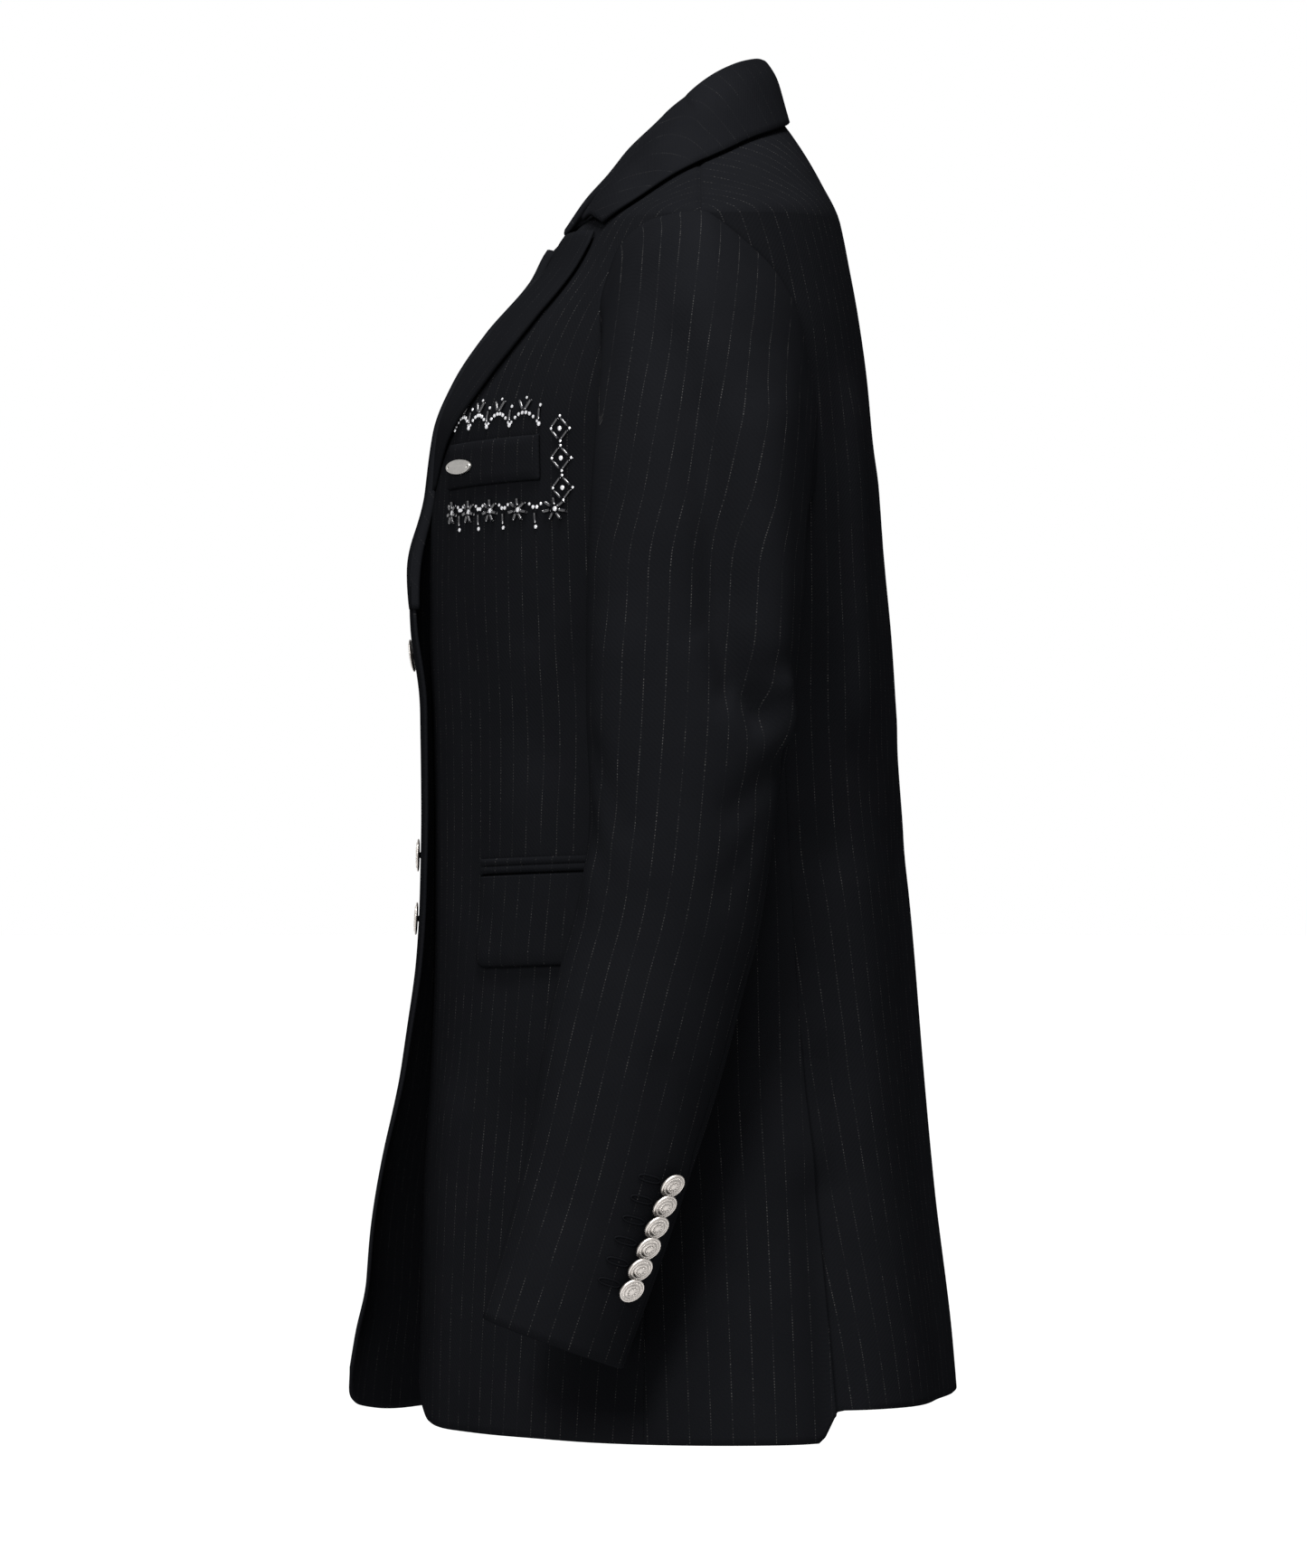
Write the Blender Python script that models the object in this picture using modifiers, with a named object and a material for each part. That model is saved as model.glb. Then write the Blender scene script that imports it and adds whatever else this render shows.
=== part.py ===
"""A long single-breasted wool jacket, worn and hollow, as closed thin walls.

Metres, +Z up. The wearer faces -Y and the wearer's left is +X. The origin is the middle of the
neck, at the height where the shoulder seams meet the collar.
"""

import bisect
import math

import bmesh
import bpy
import numpy as np
from mathutils import Matrix, Vector

NAME = "wool_jacket"

# Driving sizes
WALL = 0.0020
SEAM_GAP = 0.0003
HEM_Z = -0.731
BACK_HEM_RISE = 0.0175
MID_BACK_RISE = 0.002
TOP_Z = -0.006
NECK_RISE = 0.016
NECK_RISE_FROM = -0.075
SHOULDER_Z = -0.052
CORNER_WIDTH = 0.075
CORNER_RISE = 0.030
LAY_ON = 0.0009
CAP_GAP = 0.0005
VENT_TOP = 0.530
VENT_LAP_ANGLE = 3.5
VENT_EASE = 0.030
VENT_SINK = 0.0034
BODY_FOLD_RADIUS = 0.17
SLEEVE_FOLD_RADIUS = 0.053
ROLL_SPREAD = 0.022
CORNER_RADIUS_OF_TURN = 0.150
HEM_FADE = 0.24

# Colours: near-black wool and aged silver metal
WOOL = (0.0075, 0.0078, 0.0090)
METAL = (0.42, 0.40, 0.38)

# Body sections: height, half width, widest y, front reach, back reach, front and back fullness
SECTIONS = np.array([
    # z, half_width, mid_y, front, back, front_power, back_power
    (-0.760, 0.228, 0.012, 0.156, 0.153, 2.05, 2.15),
    (-0.690, 0.221, 0.011, 0.155, 0.148, 2.05, 2.15),
    (-0.604, 0.209, 0.009, 0.153, 0.1385, 2.05, 2.20),
    (-0.531, 0.199, 0.007, 0.149, 0.132, 2.05, 2.25),
    (-0.463, 0.191, 0.005, 0.147, 0.1265, 2.00, 2.30),
    (-0.400, 0.187, 0.003, 0.147, 0.1205, 1.95, 2.35),
    (-0.340, 0.187, 0.001, 0.148, 0.1155, 1.90, 2.40),
    (-0.280, 0.189, 0.000, 0.150, 0.1110, 1.88, 2.45),
    (-0.240, 0.191, 0.000, 0.150, 0.1070, 1.88, 2.45),
    (-0.200, 0.194, -0.002, 0.1480, 0.1040, 1.88, 2.45),
    (-0.166, 0.196, -0.004, 0.1445, 0.1010, 1.90, 2.40),
    (-0.138, 0.198, -0.006, 0.134, 0.0985, 1.92, 2.35),
    (-0.108, 0.200, -0.008, 0.1145, 0.0945, 1.95, 2.30),
    (-0.080, 0.200, -0.010, 0.0890, 0.0900, 2.00, 2.20),
    (-0.052, 0.197, -0.012, 0.069, 0.0840, 2.00, 2.10),
    (-0.034, 0.152, -0.008, 0.048, 0.0740, 2.00, 2.05),
    (-0.004, 0.078, -0.002, 0.030, 0.0530, 2.00, 2.00),
])

# Front edges: height, then how far the left and the right edge stand from the centre on their own
# side (a negative value lies past the centre)
FRONT_EDGES = np.array([
    # z, left, right
    (-0.760, -0.020, -0.020),
    (-0.300, -0.020, -0.020),
    (-0.272, -0.015, -0.018),
    (-0.250, -0.006, -0.012),
    (-0.225, 0.004, -0.002),
    (-0.204, 0.011, 0.007),
    (-0.180, 0.016, 0.015),
    (-0.148, 0.026, 0.026),
    (-0.128, 0.035, 0.035),
    (-0.102, 0.046, 0.046),
    (-0.079, 0.055, 0.055),
    (-0.0600, 0.0610, 0.0610),
    (-0.0520, 0.0680, 0.0680),
    (-0.0460, 0.0725, 0.0725),
    (-0.0280, 0.0790, 0.0790),
    (-0.0040, 0.0805, 0.0805),
])

# Lapel outer edge, left: height and distance from the centre
LAPEL_EDGE = np.array([
    # z, x
    (-0.2040, 0.0125),
    (-0.1767, 0.0420),
    (-0.1655, 0.0570),
    (-0.1540, 0.0720),
    (-0.1380, 0.0880),
    (-0.1240, 0.1000),
    (-0.1076, 0.1100),
    (-0.0930, 0.1160),
    (-0.0805, 0.1175),
    (-0.0660, 0.1180),
    (-0.0590, 0.1150),
])
LAPEL_TOP_Z = -0.059
LAPEL_FOOT_LEFT = -0.204
LAPEL_FOOT_RIGHT = -0.272
RIGHT_LAPEL = {"narrower": 0.0285, "until": 0.35}
LAPEL_COLUMNS = (0.0, 0.04, 0.2, 0.45, 0.72, 0.93, 1.0)
LAPEL_TIP = 0.006
LAPEL_LEAST_WIDTH = 0.004
LAPEL_BELLY = 0.0022
LAPEL_EDGE_UP = 0.0006

# How far the front edge rolls out from the body above the chest
ROLL_LIFT = np.array([
    # z, lift
    (-0.300, 0.0),
    (-0.125, 0.0),
    (-0.102, 0.0000),
    (-0.079, 0.0010),
    (-0.060, 0.0035),
    (-0.052, 0.0025),
    (-0.046, 0.0015),
    (-0.028, 0.0005),
    (-0.004, 0.0000),
])

# Armhole of the left side on the body: ring angle (0 front, 90 top, 180 back, 270 underarm), y, z
ARMHOLE = np.array([
    # angle, y, z
    (-90, -0.004, -0.2450),
    (-65, -0.036, -0.2310),
    (-45, -0.052, -0.2060),
    (-25, -0.061, -0.1720),
    (-5, -0.0645, -0.1365),
    (10, -0.0645, -0.1050),
    (25, -0.0595, -0.0840),
    (40, -0.0520, -0.0670),
    (60, -0.0360, -0.0555),
    (90, -0.0120, -0.0520),
    (105, 0.0000, -0.0590),
    (120, 0.0120, -0.0685),
    (135, 0.0290, -0.0840),
    (150, 0.0405, -0.1030),
    (165, 0.0480, -0.1300),
    (185, 0.0540, -0.1600),
    (205, 0.0540, -0.1900),
    (225, 0.0460, -0.2180),
    (245, 0.0280, -0.2390),
    (270, -0.004, -0.2450),
])

# Seams of the side panel: height, y of the front seam, y of the back seam
SIDE_SEAMS = np.array([
    # z, front_y, back_y
    (-0.760, -0.046, 0.066),
    (-0.600, -0.043, 0.054),
    (-0.540, -0.041, 0.047),
    (-0.445, -0.037, 0.041),
    (-0.300, -0.040, 0.037),
])

# The right front swings out below the last button: height, how far forward its edge stands
FLARE = np.array([
    # z, forward
    (-0.760, 0.0410),
    (-0.705, 0.0352),
    (-0.671, 0.0300),
    (-0.630, 0.0278),
    (-0.588, 0.0230),
    (-0.536, 0.0150),
    (-0.505, 0.0115),
    (-0.470, 0.0075),
    (-0.440, 0.0055),
    (-0.400, 0.0045),
    (-0.340, 0.0036),
    (-0.315, 0.0020),
    (-0.275, 0.0000),
])

# Soft folds of the body: start angle and height, end angle and height, width, depth (out is plus)
BODY_FOLDS = np.array([
    # angle0, z0, angle1, z1, width, depth
    (140, -0.170, 133, -0.320, 0.026, 0.0060),
    (118, -0.150, 112, -0.400, 0.024, -0.0070),
    (108, -0.600, 110, -0.740, 0.020, -0.0070),
    (126, -0.430, 132, -0.740, 0.030, 0.0050),
    (152, -0.420, 150, -0.740, 0.026, -0.0045),
    (66, -0.250, 52, -0.350, 0.026, -0.0055),
    (28, -0.300, 26, -0.430, 0.028, -0.0030),
    (20, -0.560, 17, -0.740, 0.024, 0.0045),
    (44, -0.560, 47, -0.740, 0.030, -0.0050),
    (-136, -0.190, -131, -0.350, 0.028, 0.0055),
    (-117, -0.160, -113, -0.380, 0.024, -0.0065),
    (-110, -0.610, -108, -0.740, 0.020, -0.0065),
    (-130, -0.450, -134, -0.740, 0.030, 0.0055),
    (-154, -0.400, -151, -0.740, 0.024, -0.0040),
    (-64, -0.260, -54, -0.340, 0.026, -0.0050),
    (-27, -0.310, -25, -0.440, 0.028, -0.0030),
    (-50, -0.540, -54, -0.740, 0.032, -0.0055),
])

# Folds die out beside the armholes and over the shoulders
ARM_FADE = {"angle": 92, "near": 30, "far": 44, "high": 0.24, "low": 0.32}
SHOULDER_FADE = {"high": 0.10, "low": 0.16}

# How the right front's edge stands forward: a soft break above the top button, and the lap over the left
RIGHT_FRONT = {
    "flare_from": -0.02,
    "flare_to": 0.17,
    "break_out": 0.0060,
    "break_z": -0.262,
    "break_tall": 0.045,
    "break_width": 0.055,
    "lap_out": WALL + 0.0014,
    "lap_from": 0.022,
    "lap_to": 0.050,
    "lap_low": -0.245,
    "lap_high": -0.20,
}

# Left sleeve below the cap: height, centre x and y, half width front to back and side to side, tilt
SLEEVE_RINGS = np.array([
    # z, x, y, half_y, half_x, tilt_deg
    (-0.262, 0.2365, -0.0185, 0.0600, 0.0410, 0.0),
    (-0.325, 0.2400, -0.0214, 0.0575, 0.0420, 0.0),
    (-0.384, 0.2420, -0.0260, 0.0512, 0.0425, 3.0),
    (-0.412, 0.2425, -0.0290, 0.0500, 0.0425, 6.0),
    (-0.443, 0.2425, -0.0345, 0.0505, 0.0420, 9.0),
    (-0.475, 0.2420, -0.0430, 0.0505, 0.0415, 11.5),
    (-0.506, 0.2415, -0.0505, 0.0500, 0.0410, 13.0),
    (-0.538, 0.2410, -0.0580, 0.0483, 0.0400, 14.0),
    (-0.572, 0.2405, -0.0662, 0.0455, 0.0390, 15.0),
    (-0.612, 0.2395, -0.0775, 0.0435, 0.0380, 16.5),
    (-0.640, 0.2385, -0.0860, 0.0422, 0.0375, 18.0),
    (-0.6735, 0.2367, -0.0969, 0.0410, 0.0369, 19.9),
])

# How the cap leaves the armhole and comes down into the arm
CAP = {"slope": -0.30, "under_slope": 0.25, "out": 0.80, "under_out": 0.012, "down": 1.25}

# Soft folds of the left and right sleeve: start angle and height, end angle and height, width, depth
SLEEVE_FOLDS_LEFT = np.array([
    # angle0, z0, angle1, z1, width, depth
    (48, -0.082, 70, -0.1235, 0.016, -0.0040),
    (70, -0.1235, 84, -0.163, 0.017, -0.0065),
    (84, -0.163, 97, -0.225, 0.017, -0.0080),
    (97, -0.225, 101, -0.280, 0.016, -0.0085),
    (101, -0.280, 112, -0.314, 0.014, -0.0085),
    (112, -0.314, 130, -0.328, 0.012, -0.0080),
    (124, -0.170, 130, -0.290, 0.018, 0.0050),
    (142, -0.317, 155, -0.3385, 0.010, 0.0055),
    (165, -0.350, 120, -0.380, 0.012, -0.0035),
    (40, -0.300, 30, -0.420, 0.020, 0.0030),
    (60, -0.440, 68, -0.600, 0.018, -0.0025),
    (-60, -0.340, -100, -0.400, 0.016, -0.0045),
    (-120, -0.430, -95, -0.500, 0.016, 0.0035),
])
SLEEVE_FOLDS_RIGHT = np.array([
    # angle0, z0, angle1, z1, width, depth
    (64, -0.110, 84, -0.210, 0.018, -0.0060),
    (84, -0.210, 104, -0.300, 0.016, -0.0075),
    (104, -0.300, 132, -0.345, 0.012, -0.0070),
    (118, -0.180, 126, -0.280, 0.018, 0.0035),
    (148, -0.330, 158, -0.365, 0.011, 0.0050),
    (162, -0.372, 126, -0.402, 0.012, -0.0030),
    (44, -0.320, 34, -0.440, 0.020, 0.0030),
    (66, -0.460, 62, -0.580, 0.018, -0.0025),
    (-70, -0.350, -104, -0.410, 0.016, -0.0040),
])

# Collar from the centre back to the notch: the roll at its top, and its outer edge
COLLAR_ROLL = np.array([
    # x, y, z
    (0.0000, 0.0420, 0.0475),
    (0.0220, 0.0370, 0.0465),
    (0.0450, 0.0255, 0.0430),
    (0.0600, 0.0115, 0.0365),
    (0.0690, -0.0010, 0.0280),
    (0.0730, -0.0150, 0.0150),
    (0.0735, -0.0285, 0.0020),
    (0.0720, -0.0410, -0.0135),
    (0.0690, -0.0540, -0.0280),
    (0.0650, -0.0665, -0.0460),
])
# Its outer edge lies on the body: angle round the body and height there, station by station
COLLAR_EDGE = np.array([
    # angle, z
    (180, -0.0045),
    (157, -0.0070),
    (136, -0.0095),
    (118, -0.0120),
    (103, -0.0160),
    (86, -0.0215),
    (68, -0.0285),
    (55, -0.0360),
    (46, -0.0450),
    (38, -0.0540),
])
# Neck seam of the stand: angle round the body and height, station by station
COLLAR_SEAM = np.array([
    # angle, z
    (180, -0.0060),
    (157, -0.0060),
    (136, -0.0060),
    (116, -0.0060),
    (96, -0.0060),
])

# Foot of the stand along the front's neck edge, inside the front
STAND_FRONT = {"start_z": -0.008, "end_z": -0.046, "inside": 0.0045, "back": 0.0012, "up": 0.0022}
STAND_TOP_UP = 0.0018
COLLAR_STANDS_OFF = 0.0016
COLLAR_ROLL_WIDTH = 0.0032
COLLAR_STATIONS = 14

# Pieces on the fronts, in distance from the centre and height: two ends, then their own height
WELT = {"x0": 0.052, "x1": 0.142, "low0": -0.2005, "low1": -0.1975, "tall": 0.0245, "thick": 0.0024}
JETS = {"x0": 0.090, "x1": 0.1750, "low0": -0.4190, "low1": -0.4150, "tall": 0.0085, "thick": 0.0018}
FLAP = {"x0": 0.0925, "x1": 0.1745, "low0": -0.4710, "low1": -0.4670, "tall": 0.0505, "thick": 0.0030}
PLATE = {"x": 0.074, "z": -0.1890, "radius": 0.017, "tall": 0.0012, "squash": 0.24, "steps": 24}

# Buttons: cuff buttons overlap down the sleeve's back edge, and three close the front
BUTTON_PROFILE = ((0.0, 1.0), (0.55, 0.92), (0.90, 0.74), (1.0, 0.5), (0.97, 0.22), (0.78, 0.0), (0.0, 0.0))
CUFF_BUTTON = {"radius": 0.0075, "tall": 0.0034, "squash": 1.0, "steps": 16}
FRONT_BUTTON = {"radius": 0.0095, "tall": 0.0019, "squash": 1.0, "steps": 16}
CUFF_BUTTONS = 6
CUFF_FIRST = {"angle": 135.0, "z": -0.577}
CUFF_LAST = {"angle": 129.0, "z": -0.634}
CUFF_TILT = 22.0
CUFF_SEAT = 0.82
BUTTON_STANDS_OFF = 0.0006
FRONT_BUTTON_OFF = 0.0007
FRONT_BUTTON_X = -0.014
FRONT_BUTTON_Z = (-0.294, -0.409, -0.4455)

# Grid: the body's rows below the arm are shared, and those beside the armhole meet the sleeve's columns
LOW_TOP_Z = -0.252
WAIST_Z = -0.42
LOW_ROWS = 14
SHOULDER_ROWS = 5
CAP_RINGS = 9
ARM_RINGS = 19
TOP_SLEEVE_COLS = 16
UNDER_SLEEVE_COLS = 8
FRONT_SEAM_ANGLE = -38.25
HIND_SEAM_ANGLE = 189.75
HIND_SEAM_TURN = 33
FRONT_SEAM_TURN = 4
SEAM_TURN_FROM = 0.6
SEAM_TURN_TO = 1.8
TOP_STEP = (HIND_SEAM_ANGLE - FRONT_SEAM_ANGLE) / TOP_SLEEVE_COLS
UNDER_STEP = (360 - HIND_SEAM_ANGLE + FRONT_SEAM_ANGLE) / UNDER_SLEEVE_COLS
SIDE_FRONT_ANGLE = FRONT_SEAM_ANGLE - UNDER_STEP
SIDE_BACK_ANGLE = HIND_SEAM_ANGLE + 3 * UNDER_STEP
SIDE_COLS = 4


class Curve:
    """A smooth curve through points that never overshoots them."""

    def __init__(self, xs, ys):
        order = np.argsort(xs)
        self.xs = [float(v) for v in np.asarray(xs)[order]]
        self.ys = [float(v) for v in np.asarray(ys)[order]]
        steps = np.diff(self.ys) / np.diff(self.xs)
        self.slopes = [float(steps[0])]
        for before, after in zip(steps[:-1], steps[1:]):
            level = before * after <= 0
            self.slopes.append(0.0 if level else float(2 * before * after / (before + after)))
        self.slopes.append(float(steps[-1]))

    def at(self, x):
        """Value of the curve at x, held level past its ends."""
        x = min(max(x, self.xs[0]), self.xs[-1])
        i = min(max(bisect.bisect_right(self.xs, x) - 1, 0), len(self.xs) - 2)
        h = self.xs[i + 1] - self.xs[i]
        t = (x - self.xs[i]) / h
        start = (1 + 2 * t) * (1 - t) ** 2 * self.ys[i] + t * (1 - t) ** 2 * h * self.slopes[i]
        end = t * t * (3 - 2 * t) * self.ys[i + 1] + t * t * (t - 1) * h * self.slopes[i + 1]
        return start + end


def curves(table):
    """One curve over the table's first column for each of the others."""
    return [Curve(table[:, 0], table[:, k]) for k in range(1, table.shape[1])]


SECTION_CURVES = curves(SECTIONS)
EDGE_CURVES = curves(FRONT_EDGES)
LAPEL_CURVE = curves(LAPEL_EDGE)[0]
LIFT_CURVE = curves(ROLL_LIFT)[0]
FLARE_CURVE = curves(FLARE)[0]
SEAM_CURVES = curves(SIDE_SEAMS)
RING_CURVES = curves(SLEEVE_RINGS)
ARMHOLE_CURVES = curves(ARMHOLE)


def step(x, low, high):
    """Smooth step from 0 at low to 1 at high."""
    t = min(max((x - low) / (high - low), 0.0), 1.0)
    return t * t * (3 - 2 * t)


def fold_depth(table, angle, z, radius):
    """Sum of the soft folds at an angle and height. Lines that go on from each other are one fold."""
    total = 0.0
    fold = 0.0
    before = None
    for a0, z0, a1, z1, width, depth in table:
        run_x = math.radians(a1 - a0) * radius
        run_z = z1 - z0
        here_x = math.radians(angle - a0) * radius
        here_z = z - z0
        t = (here_x * run_x + here_z * run_z) / (run_x ** 2 + run_z ** 2)
        end = min(max(t, 0.0), 1.0)
        gap = (here_x - end * run_x) ** 2 + (here_z - end * run_z) ** 2
        here = depth * math.exp(-gap / width ** 2)
        if (a0, z0) != before:
            fold = 0.0
        if abs(here) > abs(fold):
            total += here - fold
            fold = here
        before = (a1, z1)
    return total


# Body surface
def section(z):
    """Half width, widest y, reaches and fullness of the body at a height."""
    return [curve.at(z) for curve in SECTION_CURVES]


def hem_z(angle):
    """Height of the hem round the body before the front corners are rounded."""
    return HEM_Z + BACK_HEM_RISE * step(abs(angle), 106, 112) + MID_BACK_RISE * step(abs(angle), 150, 180)


def body_base(angle, z):
    """Point of the plain body at an angle from the centre front, plus towards the wearer's left."""
    half, mid, front, back, front_power, back_power = section(z)
    turn = math.radians(abs(angle))
    side = 1.0 if angle >= 0 else -1.0
    if abs(angle) <= 90:
        x = half * math.sin(turn) ** (2 / front_power)
        y = mid - (front + mid) * max(math.cos(turn), 0.0) ** (2 / front_power)
    else:
        x = half * max(math.sin(turn), 0.0) ** (2 / back_power)
        y = mid + (back - mid) * abs(math.cos(turn)) ** (2 / back_power)
    return np.array([side * x, y, z])


def angle_at_x(x, z):
    """Angle on the front half where the body is at x."""
    half, mid, front, back, front_power, back_power = section(z)
    turn = math.degrees(math.asin(min(abs(x) / half, 1.0) ** (front_power / 2)))
    return math.copysign(turn, x)


def angle_at_y(y, z):
    """Angle on the left side where the body is at y."""
    half, mid, front, back, front_power, back_power = section(z)
    if y <= mid:
        part = min((mid - y) / (front + mid), 1.0)
        return math.degrees(math.acos(part ** (front_power / 2)))
    part = min((y - mid) / (back - mid), 1.0)
    return 180 - math.degrees(math.acos(part ** (back_power / 2)))


def edge_x(z, side):
    """Distance of the front edge from the centre on its own side."""
    return EDGE_CURVES[0 if side > 0 else 1].at(z)


def front_swing(x, z, side):
    """How far the front stands forward near its edge."""
    if side > 0:
        return 0.0
    form = RIGHT_FRONT
    flare = FLARE_CURVE.at(z) * (1 - step(-x, form["flare_from"], form["flare_to"]))
    soft = math.exp(-((z - form["break_z"]) / form["break_tall"]) ** 2)
    roll = form["break_out"] * soft * (1 - step(-x, 0, form["break_width"]))
    lap = form["lap_out"] * (1 - step(-x, form["lap_from"], form["lap_to"]))
    return flare + roll + lap * (1 - step(z, form["lap_low"], form["lap_high"]))


def body(angle, z, side=0):
    """Point of the dressed body: plain form, folds, the roll above the chest and the swing."""
    point = body_base(angle, z)
    beside_arm = 1 - step(abs(abs(angle) - ARM_FADE["angle"]), ARM_FADE["near"], ARM_FADE["far"])
    below_arm = step(-z, ARM_FADE["high"], ARM_FADE["low"])
    fade = step(-z, SHOULDER_FADE["high"], SHOULDER_FADE["low"]) * (1 - beside_arm * (1 - below_arm))
    out = fold_depth(BODY_FOLDS, angle, z, BODY_FOLD_RADIUS) * fade
    centre = np.array([0.0, point[1] * 0.35, z])
    away = point - centre
    away[2] = 0.0
    away /= np.linalg.norm(away)
    point = point + away * out
    if side and abs(angle) < 90:
        lift = LIFT_CURVE.at(z)
        gap = abs(point[0]) - edge_x(z, side)
        point[1] -= lift * math.exp(-(gap / ROLL_SPREAD) ** 2)
        point[1] -= front_swing(point[0], z, side)
    behind = math.radians(min(max(abs(angle), 90), 180) - 90)
    point[2] += NECK_RISE * step(z, NECK_RISE_FROM, TOP_Z) * math.sin(behind)
    return point


def hem_shift(angle, z, side, edge_angle):
    """How much a point near the hem is raised by the hem's line and the rounded front corner."""
    fade = max(0.0, 1 - (z - HEM_Z) / HEM_FADE) ** 2
    shift = hem_z(angle) - HEM_Z
    if side:
        gap = math.radians(side * angle - edge_angle) * CORNER_RADIUS_OF_TURN
        if gap < CORNER_WIDTH:
            part = 1 - max(gap, 0.0) / CORNER_WIDTH
            shift += CORNER_RISE * (1 - math.sqrt(max(1 - part ** 2, 0.0)))
    return shift * fade


def normal_of(function, a, b, da=0.4, db=0.0015):
    """Unit normal of a surface function of an angle and a height, pointing out of the body."""
    da_vec = function(a + da, b) - function(a - da, b)
    db_vec = function(a, b + db) - function(a, b - db)
    normal = np.cross(da_vec, db_vec)
    return normal / np.linalg.norm(normal)


# Meshes
def make_object(name, points, faces, material):
    """One object from points and faces, in the jacket's collection."""
    mesh = bpy.data.meshes.new(name)
    mesh.from_pydata([tuple(float(c) for c in p) for p in points], [], faces)
    mesh.materials.append(material)
    mesh.validate()
    mesh.update()
    piece = bpy.data.objects.new(name, mesh)
    bpy.data.collections[NAME].objects.link(piece)
    bm = bmesh.new()
    bm.from_mesh(mesh)
    bmesh.ops.recalc_face_normals(bm, faces=bm.faces)
    bm.to_mesh(mesh)
    bm.free()
    mesh.shade_smooth()
    mesh.set_sharp_from_angle(angle=math.radians(45))
    return piece


def wall(name, outer, inner, material):
    """A closed wall between two grids of the same size: both faces and the rim round them."""
    outer = np.asarray(outer)
    inner = np.asarray(inner)
    rows, cols = outer.shape[:2]
    count = rows * cols
    points = np.concatenate([outer.reshape(-1, 3), inner.reshape(-1, 3)])
    faces = []
    for i in range(rows - 1):
        for j in range(cols - 1):
            a = i * cols + j
            faces.append((a, a + 1, a + cols + 1, a + cols))
            faces.append((a + count, a + cols + count, a + cols + 1 + count, a + 1 + count))
    rim = list(range(cols))
    rim += [i * cols + cols - 1 for i in range(1, rows)]
    rim += [(rows - 1) * cols + j for j in range(cols - 2, -1, -1)]
    rim += [i * cols for i in range(rows - 2, 0, -1)]
    for k, a in enumerate(rim):
        b = rim[(k + 1) % len(rim)]
        faces.append((b, a, a + count, b + count))
    return make_object(name, points, faces, material)


def surface_of(side):
    """The dressed body as a function of angle and height, with one side's front edge."""
    def surface(angle, z):
        return body(angle, z, side)
    return surface


def panel(name, angle_of, z_of, rows, cols, side, material, edge_of=None, lift=None):
    """A wall on the body: angle_of(s, z) and z_of(s, f) place its grid, row by row."""
    surface = surface_of(side)
    outer = []
    inner = []
    for f in rows:
        outer_row = []
        inner_row = []
        for s in cols:
            z = z_of(s, f)
            angle = angle_of(s, z)
            point = surface(angle, z)
            normal = normal_of(surface, angle, z)
            if lift:
                point = point + normal * lift(s, z)
            edge = edge_of(z) if edge_of else 0.0
            shift = hem_shift(angle, z, side if edge_of else 0, edge)
            point = point + np.array([0, 0, shift])
            outer_row.append(point)
            inner_row.append(point - normal * WALL)
        outer.append(outer_row)
        inner.append(inner_row)
    return wall(name, outer, inner, material)


def seam_step(z):
    """Half the gap at a seam, as an angle on the body."""
    return math.degrees(SEAM_GAP * 0.6 / section(z)[0])


# Body panels
def armhole_place(angle):
    """y and z of the left armhole on the body at a ring angle."""
    turn = (angle + 90) % 360 - 90
    return ARMHOLE_CURVES[0].at(turn), ARMHOLE_CURVES[1].at(turn)


def armhole_side(start, end):
    """The armhole's y over its height between two ring angles."""
    places = [armhole_place(start + (end - start) * k / 200) for k in range(201)]
    places.sort(key=lambda place: place[1])
    return [place[1] for place in places], [place[0] for place in places]


FRONT_ARMHOLE = armhole_side(SIDE_FRONT_ANGLE, 90)
BACK_ARMHOLE = armhole_side(SIDE_BACK_ANGLE, 90)


def seam_y(z, back):
    """y of the side seam at a height, up to where it meets the armhole."""
    top_y, top_z = armhole_place(SIDE_BACK_ANGLE if back else SIDE_FRONT_ANGLE)
    low_y = SEAM_CURVES[1 if back else 0].at(z)
    return low_y + (top_y - low_y) * step(z, WAIST_Z, top_z)


def outer_angle(z, back):
    """Angle of the front or back panel's outer boundary: side seam, armhole, then shoulder seam."""
    heights, ys = BACK_ARMHOLE if back else FRONT_ARMHOLE
    if z < heights[0]:
        y = seam_y(z, back)
    elif z < SHOULDER_Z:
        y = float(np.interp(z, heights, ys))
    else:
        y = section(z)[1]
    return angle_at_y(y, z)


def spread(low, high, count):
    """Even values from low to high."""
    return [low + (high - low) * i / count for i in range(count + 1)]


LOW_HEIGHTS = spread(HEM_Z, LOW_TOP_Z, LOW_ROWS)


def panel_heights(ring_angles):
    """Heights of a front's or back's rows: the skirt and side, the armhole, then the shoulder."""
    beside = [armhole_place(angle)[1] for angle in ring_angles]
    return LOW_HEIGHTS + beside + spread(SHOULDER_Z, TOP_Z, SHOULDER_ROWS)[1:]


FRONT_RING_ANGLES = [SIDE_FRONT_ANGLE] + [FRONT_SEAM_ANGLE + TOP_STEP * k for k in range(10)]
BACK_RING_ANGLES = [HIND_SEAM_ANGLE + UNDER_STEP * k for k in (3, 2, 1)]
BACK_RING_ANGLES += [HIND_SEAM_ANGLE - TOP_STEP * k for k in range(8)]
FRONT_HEIGHTS = panel_heights(FRONT_RING_ANGLES)
BACK_HEIGHTS = panel_heights(BACK_RING_ANGLES)
FRONT_COLUMNS = (0, 0.012, 0.04, 0.09, 0.16, 0.25, 0.35, 0.46, 0.58, 0.70, 0.81, 0.91, 1.0)
BACK_COLUMNS = (0, 0.06, 0.15, 0.27, 0.39, 0.51, 0.63, 0.75, 0.88, 1.0)


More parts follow.
